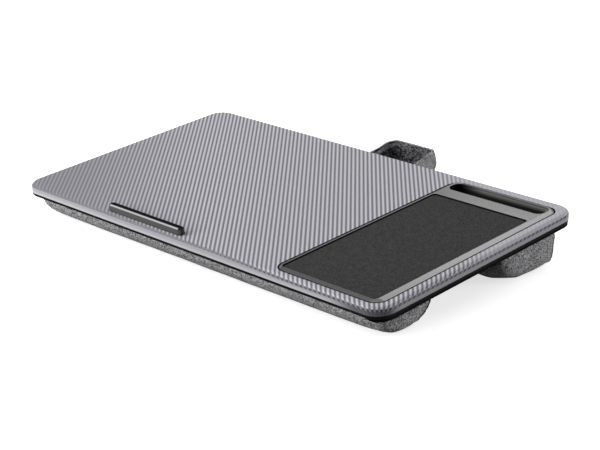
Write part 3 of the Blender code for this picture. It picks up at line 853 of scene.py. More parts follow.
class Surface(Enum):
    """Every finish of the desk."""

    # Pressed tows of two tones: light slanting stripes with a soft shine, and a plain side, with
    # painted light and painted shade over the top's corners, the bend and the side
    FILM = CarbonLookFilm("carbon look PVC film, pressed twill", "A3A2A9", 0.4, specular=0.14)
    # Metal flakes: a rim that turns from dark to bright as it turns to the light
    SILVER = SilverPaint("satin silver lacquer on ABS", "7E7E7E", 0.22, metallic=0.75)
    # Black with painted light: the trough's far wall fades from grey at its mouth to black
    TROUGH = TroughPaintedLight("black ABS with painted light at its mouth", "030303", 0.6, specular=0.1)
    # Polished black: one sharp bright line along the chamfer and a grey glow on the front face
    LEDGE = Finish("black ABS, polished mould", "050506", 0.16)
    # Etched black: the ledge's top stays black beside its bright chamfer
    LEDGE_TOP = Finish("black ABS, etched mould", "0B0B0C", 0.6, specular=0.04)
    # Painted shade: a matt black strip draws the thin dark line of the gap all round the tray
    GAP_SHADE = Finish("black strip, painted shade of the tray's gap", "08080A", 0.8, specular=0.1)
    # Matt black lacquer: the dark line under the film's edge
    BASE = Finish("black lacquered hardboard", "050506", 0.6, specular=0.05)
    # Raw brown fibres, seen only where the film is left away
    CORE = Finish("routed fibreboard", "8C6B4A", 0.85)
    # Bright blue-grey metal
    SCREW = Finish("zinc plated steel", "B8B9BA", 0.35, metallic=1.0)
    # Dead black cells: the pad's edge disappears in its recess
    FOAM = Finish("closed-cell foam rubber, cut", "0C0C0D", 0.9, specular=0.1)
    # Fine even jersey: a flat charcoal with hardly any grain
    PAD = KnitCloth(
        "polyester jersey bonded to foam",
        "3A3A3A",
        0.85,
        specular=0.12,
        dark="2A2A2A",
        light="4B4B4B",
        relief=0.08 * MM,
    )
    # Light and dark yarn knitted together: salt and pepper, no shine
    HEATHER = KnitCloth("heather polyester jersey", "747476", 0.95, specular=0.1, sheen=0.05)
    # The same over firm webbing, made lighter: painted light, as the handle's outside is lit
    STRAP = KnitCloth(
        "heather jersey over webbing",
        "7C7C7F",
        0.95,
        specular=0.1,
        sheen=0.05,
        dark="3C3C3E",
        light="CECED0",
    )
    # Painted shade: dark mottled cloth makes the inside of the handle nearly black
    SHADE_LINING = KnitCloth(
        "dark jersey, painted shade inside the handle",
        "262627",
        0.95,
        specular=0.05,
        dark="08080A",
        light="8C8C90",
        fleck=1.4 * MM,
        contrast=1.5,
    )
    # Even weave: a plain dark grey under the board
    BACKING = KnitCloth(
        "plain woven polyester lining",
        "39393A",
        0.95,
        specular=0.1,
        dark="303031",
        light="424243",
        fleck=0.9 * MM,
        relief=0.1 * MM,
    )
    # Painted shade: a black ribbon thickens the dark line along the short sides
    SHADE_TAPE = Finish("black tape, painted shade under the short sides", "060607", 0.9, specular=0.05)
    # Painted shade: a black cord draws a thin dark line round the front roll's end
    SHADE_WELT = KnitCloth(
        "black cord, painted shade round the front roll's end",
        "141415",
        0.9,
        specular=0.05,
        dark="0C0C0D",
        light="242425",
    )
    # Twisted thread: small light grains with a slight gleam
    THREAD = Finish("twisted polyester thread", "6A6A6C", 0.7, sheen=0.2, specular=0.2)


# Meshes


@dataclass(frozen=True)
class DeskPlace:
    """Where the desk's own frame stands: it leans on a low front roll and a high rear one."""

    lean_degrees: float = 4.0871515
    y: float = -0.0308849
    z: float = 0.0477843

    def matrix(self) -> Matrix:
        """The desk's frame in the row frame."""
        place = Matrix.Translation((0, self.y, self.z))
        return place @ Matrix.Rotation(math.radians(self.lean_degrees), 4, "X")


DESK = DeskPlace()


def smoothstep(value: float) -> float:
    """Eases a share from 0 to 1."""
    share = min(max(value, 0.0), 1.0)
    return share * share * (3 - 2 * share)


@dataclass(frozen=True)
class RoundedPlan:
    """A rectangle with rounded corners, seen from above."""

    size: tuple[float, float]
    centre: tuple[float, float]
    corner: float
    segments: int = 10

    def points(self, inset: float = 0.0) -> list[tuple[float, float]]:
        """Its outline, moved in by a distance, or out where that is negative.

        Args:
            inset: distance from the outline.

        Returns:
            Points counterclockwise, the same number for every inset.
        """
        half_x = self.size[0] / 2 - self.corner
        half_y = self.size[1] / 2 - self.corner
        radius = self.corner - inset
        outline = []
        for quarter, (side_x, side_y) in enumerate(((1, 1), (-1, 1), (-1, -1), (1, -1))):
            for step in range(self.segments + 1):
                angle = math.pi / 2 * (quarter + step / self.segments)
                x = self.centre[0] + side_x * half_x + radius * math.cos(angle)
                y = self.centre[1] + side_y * half_y + radius * math.sin(angle)
                outline.append((x, y))
        return outline


class Shell:
    """A closed mesh put together from rings and from faces between them."""

    def __init__(self) -> None:
        """Starts an empty mesh whose points remember where they lay on the flat film."""
        self.mesh = bmesh.new()
        self.film = self.mesh.verts.layers.float_vector.new("film_place")

    def ring(
        self, plan: RoundedPlan, inset: float, z: float, film_inset: float | None = None
    ) -> Ring:
        """Adds one ring of vertices.

        Args:
            plan: the outline it follows.
            inset: how far inside that outline it lies.
            z: its height.
            film_inset: where the same ring lay on the flat film, if that is elsewhere.

        Returns:
            Its vertices.
        """
        flat = plan.points(inset if film_inset is None else film_inset)
        verts = []
        for (x, y), (u, v) in zip(plan.points(inset), flat):
            vert = self.mesh.verts.new((x, y, z))
            vert[self.film] = Vector((u, v, 0))
            verts.append(vert)
        return verts

    def bridge(self, rings: Sequence[Ring]) -> None:
        """Joins each ring to the next with quads.

        Args:
            rings: rings with the same number of vertices.
        """
        for first, second in zip(rings, rings[1:]):
            for i, vert in enumerate(first):
                j = (i + 1) % len(first)
                self.mesh.faces.new((vert, first[j], second[j], second[i]))

    def fill(self, outer: Ring, *holes: Ring) -> None:
        """Closes a ring with a flat face, leaving its holes open.

        Args:
            outer: the ring to close.
            holes: rings inside it.
        """
        if not holes:
            self.mesh.faces.new(outer)
            return
        edges = []
        for loop in (outer, *holes):
            for i, vert in enumerate(loop):
                pair = (vert, loop[(i + 1) % len(loop)])
                edges.append(self.mesh.edges.get(pair) or self.mesh.edges.new(pair))
        bmesh.ops.triangle_fill(self.mesh, use_beauty=True, use_dissolve=False, edges=edges)

    def finish(self, name: str) -> bpy.types.Mesh:
        """Turns every face outwards, writes the film's own coordinates and ends the mesh.

        Args:
            name: name of the mesh.

        Returns:
            The mesh.
        """
        bmesh.ops.recalc_face_normals(self.mesh, faces=self.mesh.faces)
        layer = self.mesh.loops.layers.uv.new("film")
        for face in self.mesh.faces:
            for loop in face.loops:
                loop[layer].uv = loop.vert[self.film].xy
        mesh = bpy.data.meshes.new(name)
        self.mesh.to_mesh(mesh)
        self.mesh.free()
        return mesh


def rounding(radius: float, steps: int) -> list[tuple[float, float, float]]:
    """A quarter round over an edge, from the flat top to the upright side.

    Args:
        radius: its radius.
        steps: number of faces over it.

    Returns:
        For each ring its inset, its drop and the length of surface up to it.
    """
    rings = []
    for step in range(steps + 1):
        angle = math.pi / 2 * step / steps
        inset = radius * (1 - math.sin(angle))
        drop = radius * (1 - math.cos(angle))
        rings.append((inset, drop, radius * angle))
    return rings


def place_piece(
    mesh: bpy.types.Mesh,
    name: str,
    surfaces: Sequence[Surface],
    replaces: Sequence[str] = (),
    body: str = "desk",
    frame: Matrix | None = None,
    crisp_degrees: float = 0.0,
) -> bpy.types.Object:
    """Makes an object of a mesh, dresses it and puts it on its body.

    Args:
        mesh: the mesh, in the frame that it was built in.
        name: name of the piece.
        surfaces: its finishes, one for each material index.
        replaces: CAD nodes that it stands for.
        body: the body that carries it.
        frame: the frame that it was built in, the desk's own if none is given.
        crisp_degrees: angle from which an edge stays sharp, and its flat faces flat. None at 0.

    Returns:
        The object.
    """
    piece = bpy.data.objects.new(name, mesh)
    bpy.context.scene.collection.objects.link(piece)
    for surface in surfaces:
        mesh.materials.append(surface.value.material())
    mesh.shade_smooth()
    if crisp_degrees:
        mesh.set_sharp_from_angle(angle=math.radians(crisp_degrees))
        weighted = piece.modifiers.new("flat faces stay flat", "WEIGHTED_NORMAL")
        weighted.keep_sharp = True
        weighted.weight = 100
    piece.matrix_world = DESK.matrix() if frame is None else frame
    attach(piece, body)
    if replaces:
        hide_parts(*replaces)
    log.info("%s stands for %s", name, ", ".join(replaces) or "nothing, it is a detail")
    return piece


def sweep(rows: Sequence[Sequence[Vector]], closed_rows: bool, name: str) -> bpy.types.Mesh:
    """A skin over rows of points, with its ends closed.

    Args:
        rows: rows with the same number of points, each going round the shape.
        closed_rows: whether the last row joins the first, as on a hoop.
        name: name of the mesh.

    Returns:
        The mesh, its faces turned outwards.
    """
    bm = bmesh.new()
    rings = [[bm.verts.new(point) for point in row] for row in rows]
    pairs = list(zip(rings, rings[1:]))
    if closed_rows:
        pairs.append((rings[-1], rings[0]))
    for first, second in pairs:
        for i, vert in enumerate(first):
            j = (i + 1) % len(first)
            bm.faces.new((vert, first[j], second[j], second[i]))
    if not closed_rows:
        bm.faces.new(rings[0])
        bm.faces.new(rings[-1])
    bmesh.ops.recalc_face_normals(bm, faces=bm.faces)
    mesh = bpy.data.meshes.new(name)
    bm.to_mesh(mesh)
    bm.free()
    return mesh


def tube(path: Sequence[Vector], radius: float, sides: int, name: str) -> bpy.types.Mesh:
    """A round cord along a path.

    Args:
        path: points of its middle line.
        radius: its radius.
        sides: number of faces round it.
        name: name of the mesh.

    Returns:
        The mesh.
    """
    rows = []
    normal = Vector((1, 0, 0))
    for i, point in enumerate(path):
        before = path[max(i - 1, 0)]
        after = path[min(i + 1, len(path) - 1)]
        along = (after - before).normalized()
        normal = (normal - along * normal.dot(along)).normalized()
        side = along.cross(normal)
        row = []
        for k in range(sides):
            angle = 2 * math.pi * k / sides
            row.append(point + radius * (math.cos(angle) * normal + math.sin(angle) * side))
        rows.append(row)
    return sweep(rows, False, name)


# Sub-assemblies


@dataclass
class Board:
    """The board: its film, and the core, the base panel and the screws as packed."""

    size: tuple[float, float] = (0.536, 0.305)
    corner: float = 0.020
    edge: float = 0.0045
    film_bottom: float = -0.009
    film_thickness: float = 0.0005
    window_size: tuple[float, float] = (0.1388, 0.2825)
    window_centre: tuple[float, float] = (0.1889, -0.00285)
    window_corner: float = 0.0142
    # The film's lip at the tray and the strip in the gap are black, as painted shade
    shade_lip: float = 0.0003
    shade_strip: float = 0.0015
    edge_steps: int = 8
    corner_steps: int = 14
    plain_nodes: dict[str, Surface] = field(
        default_factory=lambda: {"board_core": Surface.CORE, "base_panel": Surface.BASE}
    )

    def film_mesh(self) -> bpy.types.Mesh:
        """The film as a thin closed skin, wrapped over the edges and open over the tray.

        Returns:
            The mesh.
        """
        shell = Shell()
        outer = RoundedPlan(self.size, (0, 0), self.corner, self.corner_steps)
        window = RoundedPlan(self.window_size, self.window_centre, self.window_corner)
        outside = []
        for inset, drop, run in rounding(self.edge, self.edge_steps):
            outside.append(shell.ring(outer, inset, -drop, self.edge - run))
        run_down = self.edge * math.pi / 2 - self.edge
        side_length = -self.film_bottom - self.edge
        outside.append(shell.ring(outer, 0, self.film_bottom, -run_down - side_length))
        thin = self.film_thickness
        inside = [
            shell.ring(outer, thin, self.film_bottom),
            shell.ring(outer, thin, -self.edge),
            shell.ring(outer, self.edge, -thin),
        ]
        shade_strip_top = -0.25 * thin
        shade_strip_bottom = -0.9 * thin
        lip_foot = -0.1 * self.shade_lip
        lips = [
            shell.ring(window, -self.shade_lip, 0),
            shell.ring(window, lip_foot, 0.1 * shade_strip_top),
            shell.ring(window, 0, shade_strip_top),
            shell.ring(window, self.shade_strip, shade_strip_top),
            shell.ring(window, self.shade_strip, shade_strip_bottom),
            shell.ring(window, lip_foot, shade_strip_bottom),
            shell.ring(window, lip_foot, -thin),
        ]
        shell.bridge([*outside, *inside])
        shell.bridge(lips)
        # Painted shade: the lip and the strip that fills the gap round the tray are black
        wall = {vert for ring in lips for vert in ring}
        for face in shell.mesh.faces:
            if all(vert in wall for vert in face.verts):
                face.material_index = 1
        shell.fill(outside[0], lips[0])
        shell.fill(inside[-1], lips[-1])
        return shell.finish("film_skin")

    def build(self, frame: dict[str, Any]) -> None:
        """Makes the film and dresses the hidden solids.

        Args:
            frame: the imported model.
        """
        place_piece(
            self.film_mesh(),
            "film_skin",
            [Surface.FILM, Surface.GAP_SHADE],
            ["laminate_film"],
            crisp_degrees=CRISP,
        )
        for node, surface in self.plain_nodes.items():
            self.dress(frame, node, surface)
        for node in frame["nodes"]:
            if "_screw_" in node:
                self.dress(frame, node, Surface.SCREW)

    def dress(self, frame: dict[str, Any], node: str, surface: Surface) -> None:
        """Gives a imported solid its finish.

        Args:
            frame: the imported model.
            node: name of the solid.
            surface: its finish.
        """
        for holder in frame["nodes"][node].material_slots:
            holder.material = surface.value.material()
        log.info("%s keeps its solid", node)


@dataclass
class Tray:
    """The tray let into the board: a silver shell with a crowned rim, a phone trough and a pad."""

    size: tuple[float, float] = (0.1359, 0.2793)
    centre: tuple[float, float] = (0.18885, -0.00285)
    corner: float = 0.0110
    rim_low: float = -0.0006
    rim_high: float = 0.0009
    rim_edge: float = 0.0004
    bottom: float = -0.0034
    field_size: tuple[float, float] = (0.1270, 0.2743)
    field_centre: tuple[float, float] = (0.1867, -0.00135)
    field_corner: float = 0.0066
    field_bend: float = 0.0005
    pad_size: tuple[float, float] = (0.1227, 0.231)
    pad_centre: tuple[float, float] = (0.18685, -0.0208)
    pad_corner: float = 0.004
    pad_gap: float = 0.0007
    pad_floor: float = -0.0022
    pad_top: float = -0.0003
    pad_lip: float = 0.0004
    pad_steps: int = 8
    cloth_thickness: float = 0.0006
    cloth_edge: float = 0.0005
    foam_edge: float = 0.0002
    slot_size: tuple[float, float] = (0.124, 0.0198)
    slot_centre: tuple[float, float] = (0.188, 0.1244)
    slot_corner: float = 0.0085
    slot_floor: float = -0.0104
    slot_lip: float = 0.0008
    slot_fillet: float = 0.0042
    slot_wall: float = 0.0013
    slot_steps: int = 12
    fillet_steps: int = 6

    def shell_mesh(self) -> bpy.types.Mesh:
        """The moulded shell with the pad's recess and the phone trough.

        Returns:
            The mesh, with what is left unpainted on material 1.
        """
        shell = Shell()
        rim = RoundedPlan(self.size, self.centre, self.corner)
        flat = RoundedPlan(self.field_size, self.field_centre, self.field_corner)
        recess_size = (self.pad_size[0] + 2 * self.pad_gap, self.pad_size[1] + 2 * self.pad_gap)
        recess = RoundedPlan(recess_size, self.pad_centre, self.pad_corner, self.pad_steps)
        slot = RoundedPlan(self.slot_size, self.slot_centre, self.slot_corner, self.slot_steps)
        bend = self.field_bend
        # The rim falls away from the flat field, slowly at first
        rim_rings = [
            shell.ring(flat, bend, self.rim_high),
            shell.ring(flat, 0, self.rim_high - bend / 12),
            shell.ring(flat, -bend, self.rim_high - bend / 4),
        ]
        for inset, drop, _ in rounding(self.rim_edge, 4):
            rim_rings.append(shell.ring(rim, inset, self.rim_low - drop))
        rim_rings.append(shell.ring(rim, 0, self.bottom))
        shell.bridge(rim_rings)
        pad_rings = []
        for inset, drop, _ in rounding(self.pad_lip, 3):
            pad_rings.append(shell.ring(recess, -inset, self.rim_high - drop))
        pad_rings.append(shell.ring(recess, 0, self.pad_floor))
        shell.bridge(pad_rings)
        shell.fill(pad_rings[-1])
        slot_rings = []
        for inset, drop, _ in rounding(self.slot_lip, 4):
            slot_rings.append(shell.ring(slot, -inset, self.rim_high - drop))
        for step in range(self.fillet_steps + 1):
            angle = math.pi / 2 * step / self.fillet_steps
            inset = self.slot_fillet * (1 - math.cos(angle))
            z = self.slot_floor + self.slot_fillet * (1 - math.sin(angle))
            slot_rings.append(shell.ring(slot, inset, z))
        shell.bridge(slot_rings)
        shell.fill(slot_rings[-1])
        shell.fill(rim_rings[0], pad_rings[0], slot_rings[0])
        trough_bottom = self.slot_floor - self.slot_wall
        under = [
            shell.ring(slot, -self.slot_wall, self.bottom),
            shell.ring(slot, -self.slot_wall, trough_bottom),
        ]
        shell.bridge(under)
        shell.fill(under[-1])
        shell.fill(rim_rings[-1], under[0])
        # The trough is black, and so is what lies below the rims: it is left unpainted. The pad's
        # recess wall is black as painted shade
        for rings in (slot_rings[2:], pad_rings[1:], [*rim_rings[5:], *under]):
            black = {vert for ring in rings for vert in ring}
            for face in shell.mesh.faces:
                if all(vert in black for vert in face.verts):
                    face.material_index = 1
        return shell.finish("tray_shell")

    def pad_mesh(self, bottom: float, top: float, edge: float, name: str) -> bpy.types.Mesh:
        """A flat sheet of the pad with a rounded upper edge.

        Args:
            bottom: its lower height.
            top: its upper height.
            edge: radius of its upper edge.
            name: name of the mesh.

        Returns:
            The mesh.
        """
        shell = Shell()
        plan = RoundedPlan(self.pad_size, self.pad_centre, self.pad_corner, self.pad_steps)
        rings = [shell.ring(plan, inset, top - drop) for inset, drop, _ in rounding(edge, 4)]
        rings.append(shell.ring(plan, 0, bottom))
        shell.bridge(rings)
        shell.fill(rings[0])
        shell.fill(rings[-1])
        return shell.finish(name)

    def build(self) -> None:
        """Makes the shell, the pad's foam and its cloth."""
        place_piece(
            self.shell_mesh(),
            "tray_shell",
            [Surface.SILVER, Surface.TROUGH],
            ["accessory_tray"],
            crisp_degrees=CRISP,
        )
        seam = self.pad_top - self.cloth_thickness
        foam = place_piece(
            self.pad_mesh(self.pad_floor, seam, self.foam_edge, "pad_foam"),
            "pad_foam_sheet",
            [Surface.FOAM],
            ["mouse_pad_foam"],
            crisp_degrees=CRISP,
        )
        cloth = place_piece(
            self.pad_mesh(seam, self.pad_top, self.cloth_edge, "pad_cloth"),
            "pad_cloth_sheet",
            [Surface.PAD],
            ["mouse_pad_cloth"],
            crisp_degrees=CRISP,
        )


@dataclass
class Ledge:
    """The polished bar that keeps a laptop from sliding."""

    length: float = 0.116
    depth: float = 0.0092
    height: float = 0.0078
    centre: tuple[float, float] = (-0.068, -0.1429)
    end: float = 0.0042
    foot: float = 0.0002
    crisp_degrees: float = 28  # more than any one turn of the chamfer: only the foot stays sharp
    profile: tuple[tuple[float, float], ...] = (
        (0.0023, 0.0),
        (0.00195, 0.00005),
        (0.00175, 0.00018),
        (0.0004, 0.00148),
        (0.00028, 0.00172),
        (0.00025, 0.0021),
    )  # inset and drop, from the flat top over a broad chamfer to the drafted side

    def build(self) -> None:
        """Makes the bar, rounded in plan at its ends and chamfered all round its top."""
        shell = Shell()
        plan = RoundedPlan((self.length, self.depth), self.centre, self.end)
        rings = [shell.ring(plan, inset, self.height - drop) for inset, drop in self.profile]
        rings.append(shell.ring(plan, 0, self.foot))
        shell.bridge(rings)
        shell.fill(rings[0])
        shell.fill(rings[-1])
        top = {vert for ring in rings[:3] for vert in ring}
        for face in shell.mesh.faces:
            if all(vert in top for vert in face.verts):
                face.material_index = 1
        place_piece(
            shell.finish("ledge_bar"),
            "ledge_bar",
            [Surface.LEDGE, Surface.LEDGE_TOP],
            ["device_ledge"],
            crisp_degrees=self.crisp_degrees,
        )


@dataclass
class Roll:
    """One stuffed roll of the cushion: a cover with a panel and a welt at each of its ends."""

    name: str
    centre_y: float
    width: float
    drop: float
    lumps: float  # height of the loose fill's lumps
    seed: float
    cord: Surface  # what colours the welts, black on the front roll as painted shade
    back_roundness: float  # 2 is an ellipse, and more is squarer
    end_back_share: float  # how much of its half width the roll keeps behind, at its ends
    pinch: float = 0.0  # share of its half width that it loses behind, near its ends
    left_front_share: float = 0.905  # what it keeps in front at its left end
    top: float = -0.0143
    seam_x: float = 0.2615
    crown: float = 0.0042
    roundness: float = 2.3
    tuck_share: float = 0.09
    end_front_share: float = 0.89
    end_drop_share: float = 0.955
    end_reach: float = 0.045
    soft_reach: float = 0.02
    welt: float = 0.0008
    pressure: float = 3.0
    slack: float = -0.03
    most_moved: float = 0.004
    gather: float = 0.0004
    voxel: float = 0.0045
    shrunk: float = 0.0008  # how far inside its skin the blank lies
    lift: float = 0.0004  # least height over the table
    ease_most: float = 0.998  # just short of 1, where the easing would stand upright
    pinch_from: float = 0.19  # how far out the pinch starts
    pinch_over: float = 0.06
    pinch_height: float = 0.57  # of the drop
    pinch_spread: float = 0.2
    around: int = 42  # faces of the blank round its lower part
    along: int = 70
    dome: tuple[float, ...] = (0.25, 0.5, 0.72, 0.88, 0.97)  # rings of each domed end
    dome_power: float = 2.2
    last_frame: int = 20  # of the simulation, when the stuffing has come to rest
    lump_size: tuple[float, float, float] = (0.055, 0.032, 0.03)
    seam_ease: float = 0.012  # from the seam on top down to where the lumps are full
    pucker: float = 0.0005  # height of the folds at the end seams
    pucker_reach: float = 0.016
    pucker_step: float = 0.0021
    gather_reach: float = 0.008  # down from the seams on top
    gather_step: float = 0.0035
    cord_steps: int = 60
    cord_sunk: float = 2.2  # how deep the welt's middle lies in front, in welt radii
    cord_rise: float = 2.7  # and how much higher it lies behind

    def eased(self, x: float, end_share: float) -> float:
        """A share that falls from 1 to its end value towards the roll's ends."""
        way = min(max((abs(x) - self.seam_x + self.end_reach) / self.end_reach, 0), 1)
        return 1 - (1 - math.sqrt(1 - self.ease_most * way * way)) * (1 - end_share)

    def outline(self, x: float, share: float, grow: float = 0.0) -> Vector:
        """A point of the roll's skin.

        Args:
            x: place along the roll.
            share: place round it, from the front seam under the roll to the back seam.
            grow: how far the point lies outside the skin.

        Returns:
            The point in the desk's frame.
        """
        angle = math.pi * share
        power = 2 / (self.roundness if share < 0.5 else self.back_roundness)
        sine = max(math.sin(angle), 0.0)
        cosine = math.cos(angle)
        tuck = 1 - (self.tuck_share if share < 0.5 else 0) * (1 - sine) ** 4
        if share > 0.5:
            near_end = smoothstep((abs(x) - self.pinch_from) / self.pinch_over)
            off = (sine**power - self.pinch_height) / self.pinch_spread
            tuck -= self.pinch * near_end * math.exp(-(off**2))
        front_share = self.end_front_share if x > 0 else self.left_front_share
        side_share = front_share if share < 0.5 else self.end_back_share
        half = (self.width / 2 + grow) * self.eased(x, side_share) * tuck
        drop = (self.drop + grow) * self.eased(x, self.end_drop_share)
        y = self.centre_y - half * math.copysign(abs(cosine) ** power, cosine)
        return Vector((x, y, self.top - drop * sine**power))

    def ring(self, x: float, steps: int, grow: float = 0.0) -> list[Vector]:
        """The whole cross-section: round below and straight across the top.

        Args:
            x: place along the roll.
            steps: number of faces round the lower part.
            grow: how far the ring lies outside the skin.

        Returns:
            Its points.
        """
        points = [self.outline(x, i / steps, grow) for i in range(steps + 1)]
        first, last = points[0], points[-1]
        across = steps // 3
        points += [last.lerp(first, i / across) for i in range(1, across)]
        return points

    def blank_mesh(self) -> bpy.types.Mesh:
        """The roll before it is stuffed: a closed skin with domed ends.

        Returns:
            The mesh.
        """
        rows = []
        centre = Vector((0, self.centre_y, self.top - self.drop * self.end_drop_share / 2))
        left_ring = self.ring(-self.seam_x, self.around, -self.shrunk)
        for share in self.dome:
            x = -self.seam_x - self.crown * (1 - share**self.dome_power)
            rows.append([Vector((x, *centre.lerp(p, share).yz)) for p in left_ring])
        for i in range(self.along + 1):
            x = self.seam_x * math.sin(math.pi * (i / self.along - 0.5))
            rows.append(self.ring(x, self.around, -self.shrunk))
        right_ring = self.ring(self.seam_x, self.around, -self.shrunk)
        for share in reversed(self.dome):
            x = self.seam_x + self.crown * (1 - share**self.dome_power)
            rows.append([Vector((x, *centre.lerp(p, share).yz)) for p in right_ring])
        return sweep(rows, False, f"{self.name}_blank")

    def remeshed(self) -> bpy.types.Object:
        """The blank in even quads, which cloth needs.

        Returns:
            An object at the origin that holds it.
        """
        blank = bpy.data.objects.new(f"{self.name}_blank", self.blank_mesh())
        bpy.context.scene.collection.objects.link(blank)
        remesh = blank.modifiers.new("even quads", "REMESH")
        remesh.mode = "VOXEL"
        remesh.voxel_size = self.voxel
        remesh.use_smooth_shade = True
        graph = bpy.context.evaluated_depsgraph_get()
        even = bpy.data.meshes.new_from_object(blank.evaluated_get(graph))
        blank.modifiers.clear()
        blank.data = even
        return blank

    def stuff(self, roll: bpy.types.Object) -> None:
        """Blows the cloth up from inside while its seams stay sewn down.

        Args:
            roll: the remeshed blank, whose mesh this changes.
        """
        start = [v.co.copy() for v in roll.data.vertices]
        sewn = roll.vertex_groups.new(name="sewn")
        sewn_reach = self.voxel * 0.6
        for vert in roll.data.vertices:
            on_top = vert.co.z > self.top - sewn_reach
            at_end = abs(abs(vert.co.x) - self.seam_x) < sewn_reach
            if on_top or at_end:
                sewn.add([vert.index], 1.0, "REPLACE")
        cloth = roll.modifiers.new("stuffing", "CLOTH")
        settings = cloth.settings
        settings.quality = 5
        settings.mass = 0.3
        settings.tension_stiffness = 12
        settings.compression_stiffness = 12
        settings.shear_stiffness = 4
        settings.bending_stiffness = 0.3
        settings.vertex_group_mass = "sewn"
        settings.use_pressure = True
        settings.uniform_pressure_force = self.pressure
        settings.shrink_min = self.slack
        settings.effector_weights.gravity = 0
        cloth.point_cache.frame_start = 1
        cloth.point_cache.frame_end = self.last_frame
        scene = bpy.context.scene
        for frame in range(1, self.last_frame + 1):
            scene.frame_set(frame)
        graph = bpy.context.evaluated_depsgraph_get()
        stuffed = [v.co.copy() for v in roll.evaluated_get(graph).data.vertices]
        roll.modifiers.clear()
        scene.frame_set(1)
        for vert, before, after in zip(roll.data.vertices, start, stuffed):
            move = after - before
            if move.length > self.most_moved:
                move *= self.most_moved / move.length
            vert.co = before + move

    def crumple(self, roll: bpy.types.Object) -> None:
        """Adds the lumps of the loose fill and the puckers along the seams.

        Args:
            roll: the roll, whose mesh this changes.
        """
        moves = []
        for vert in roll.data.vertices:
            co = vert.co
            in_lumps = [place / size for place, size in zip(co, self.lump_size)]
            spot = Vector(in_lumps) + Vector((self.seed, 0, 0))
            lump = noise.noise(spot) + 0.5 * noise.noise(spot * 2.1)
            below = smoothstep((self.top - co.z) / self.seam_ease)
            to_end = self.seam_x - abs(co.x)
            at_end = math.exp(-((to_end / self.pucker_reach) ** 2))
            pucker = math.sin(co.z / self.pucker_step + 3 * noise.noise(co / 0.01)) * at_end
            near_top = math.exp(-((self.top - co.z) / self.gather_reach))
            gather = math.sin(co.x / self.gather_step + 4 * noise.noise(co / 0.02)) * near_top
            lumpy = self.lumps * lump + self.pucker * pucker
            moves.append(below * lumpy + self.gather * gather)
        for vert, move in zip(roll.data.vertices, moves):
            vert.co += vert.normal * move
        bm = bmesh.new()
        bm.from_mesh(roll.data)
        # The stuffing pulls the cover smooth, and most of all over the ends
        whole = list(bm.verts)
        ends = [vert for vert in whole if abs(vert.co.x) > self.seam_x - self.soft_reach]
        for verts in (*[whole] * 3, *[ends] * 5):
            bmesh.ops.smooth_vert(
                bm, verts=verts, factor=0.5, use_axis_x=True, use_axis_y=True, use_axis_z=True
            )
        bm.to_mesh(roll.data)
        bm.free()

    def settle(self, roll: bpy.types.Object) -> None:
        """Keeps the roll under its backing and on the table.

        Args:
            roll: the roll, whose mesh this changes.
        """
        to_row = DESK.matrix()
        to_desk = to_row.inverted()
        for vert in roll.data.vertices:
            vert.co.z = min(vert.co.z, self.top)
            place = to_row @ vert.co
            if place.z < self.lift:
                place.z = self.lift
                vert.co = to_desk @ place

    def build(self) -> None:
        """Makes the roll and the welt at each of its ends."""
        roll = self.remeshed()
        self.stuff(roll)
        self.crumple(roll)
        self.settle(roll)
        mesh = roll.data
        bpy.data.objects.remove(roll)
        skin = BVHTree.FromPolygons(
            [v.co for v in mesh.vertices], [p.vertices[:] for p in mesh.polygons]
        )
        mesh.transform(DESK.matrix())
        ends = [f"{self.name}_end_left", f"{self.name}_end_right"]
        piece = place_piece(
            mesh,
            f"{self.name}_roll",
            [Surface.HEATHER],
            [f"{self.name}_cover", f"{self.name}_fill", *ends],
            frame=Matrix(),
        )
        smooth = piece.modifiers.new("finer cloth", "SUBSURF")
        smooth.levels = 1
        smooth.render_levels = 1
        for side, word in ((-1, "left"), (1, "right")):
            path = []
            for i in range(self.cord_steps + 1):
                share = i / self.cord_steps
                sewn = self.outline(side * self.seam_x, share)
                spot, normal, _, _ = skin.find_nearest(sewn)
                # In front the cover's cloth closes over the cord, behind the cord stands free
                free = smoothstep((share - 0.5) / 0.2)
                rise = self.cord_rise * free - self.cord_sunk
                path.append(spot + normal * self.welt * rise)
            cord = tube(path, self.welt, 8, f"{self.name}_welt")
            cord.transform(DESK.matrix())
            place_piece(
                cord,
                f"{self.name}_welt_{word}",
                [self.cord],
                [f"{self.name}_piping_{word}"],
                frame=Matrix(),
            )


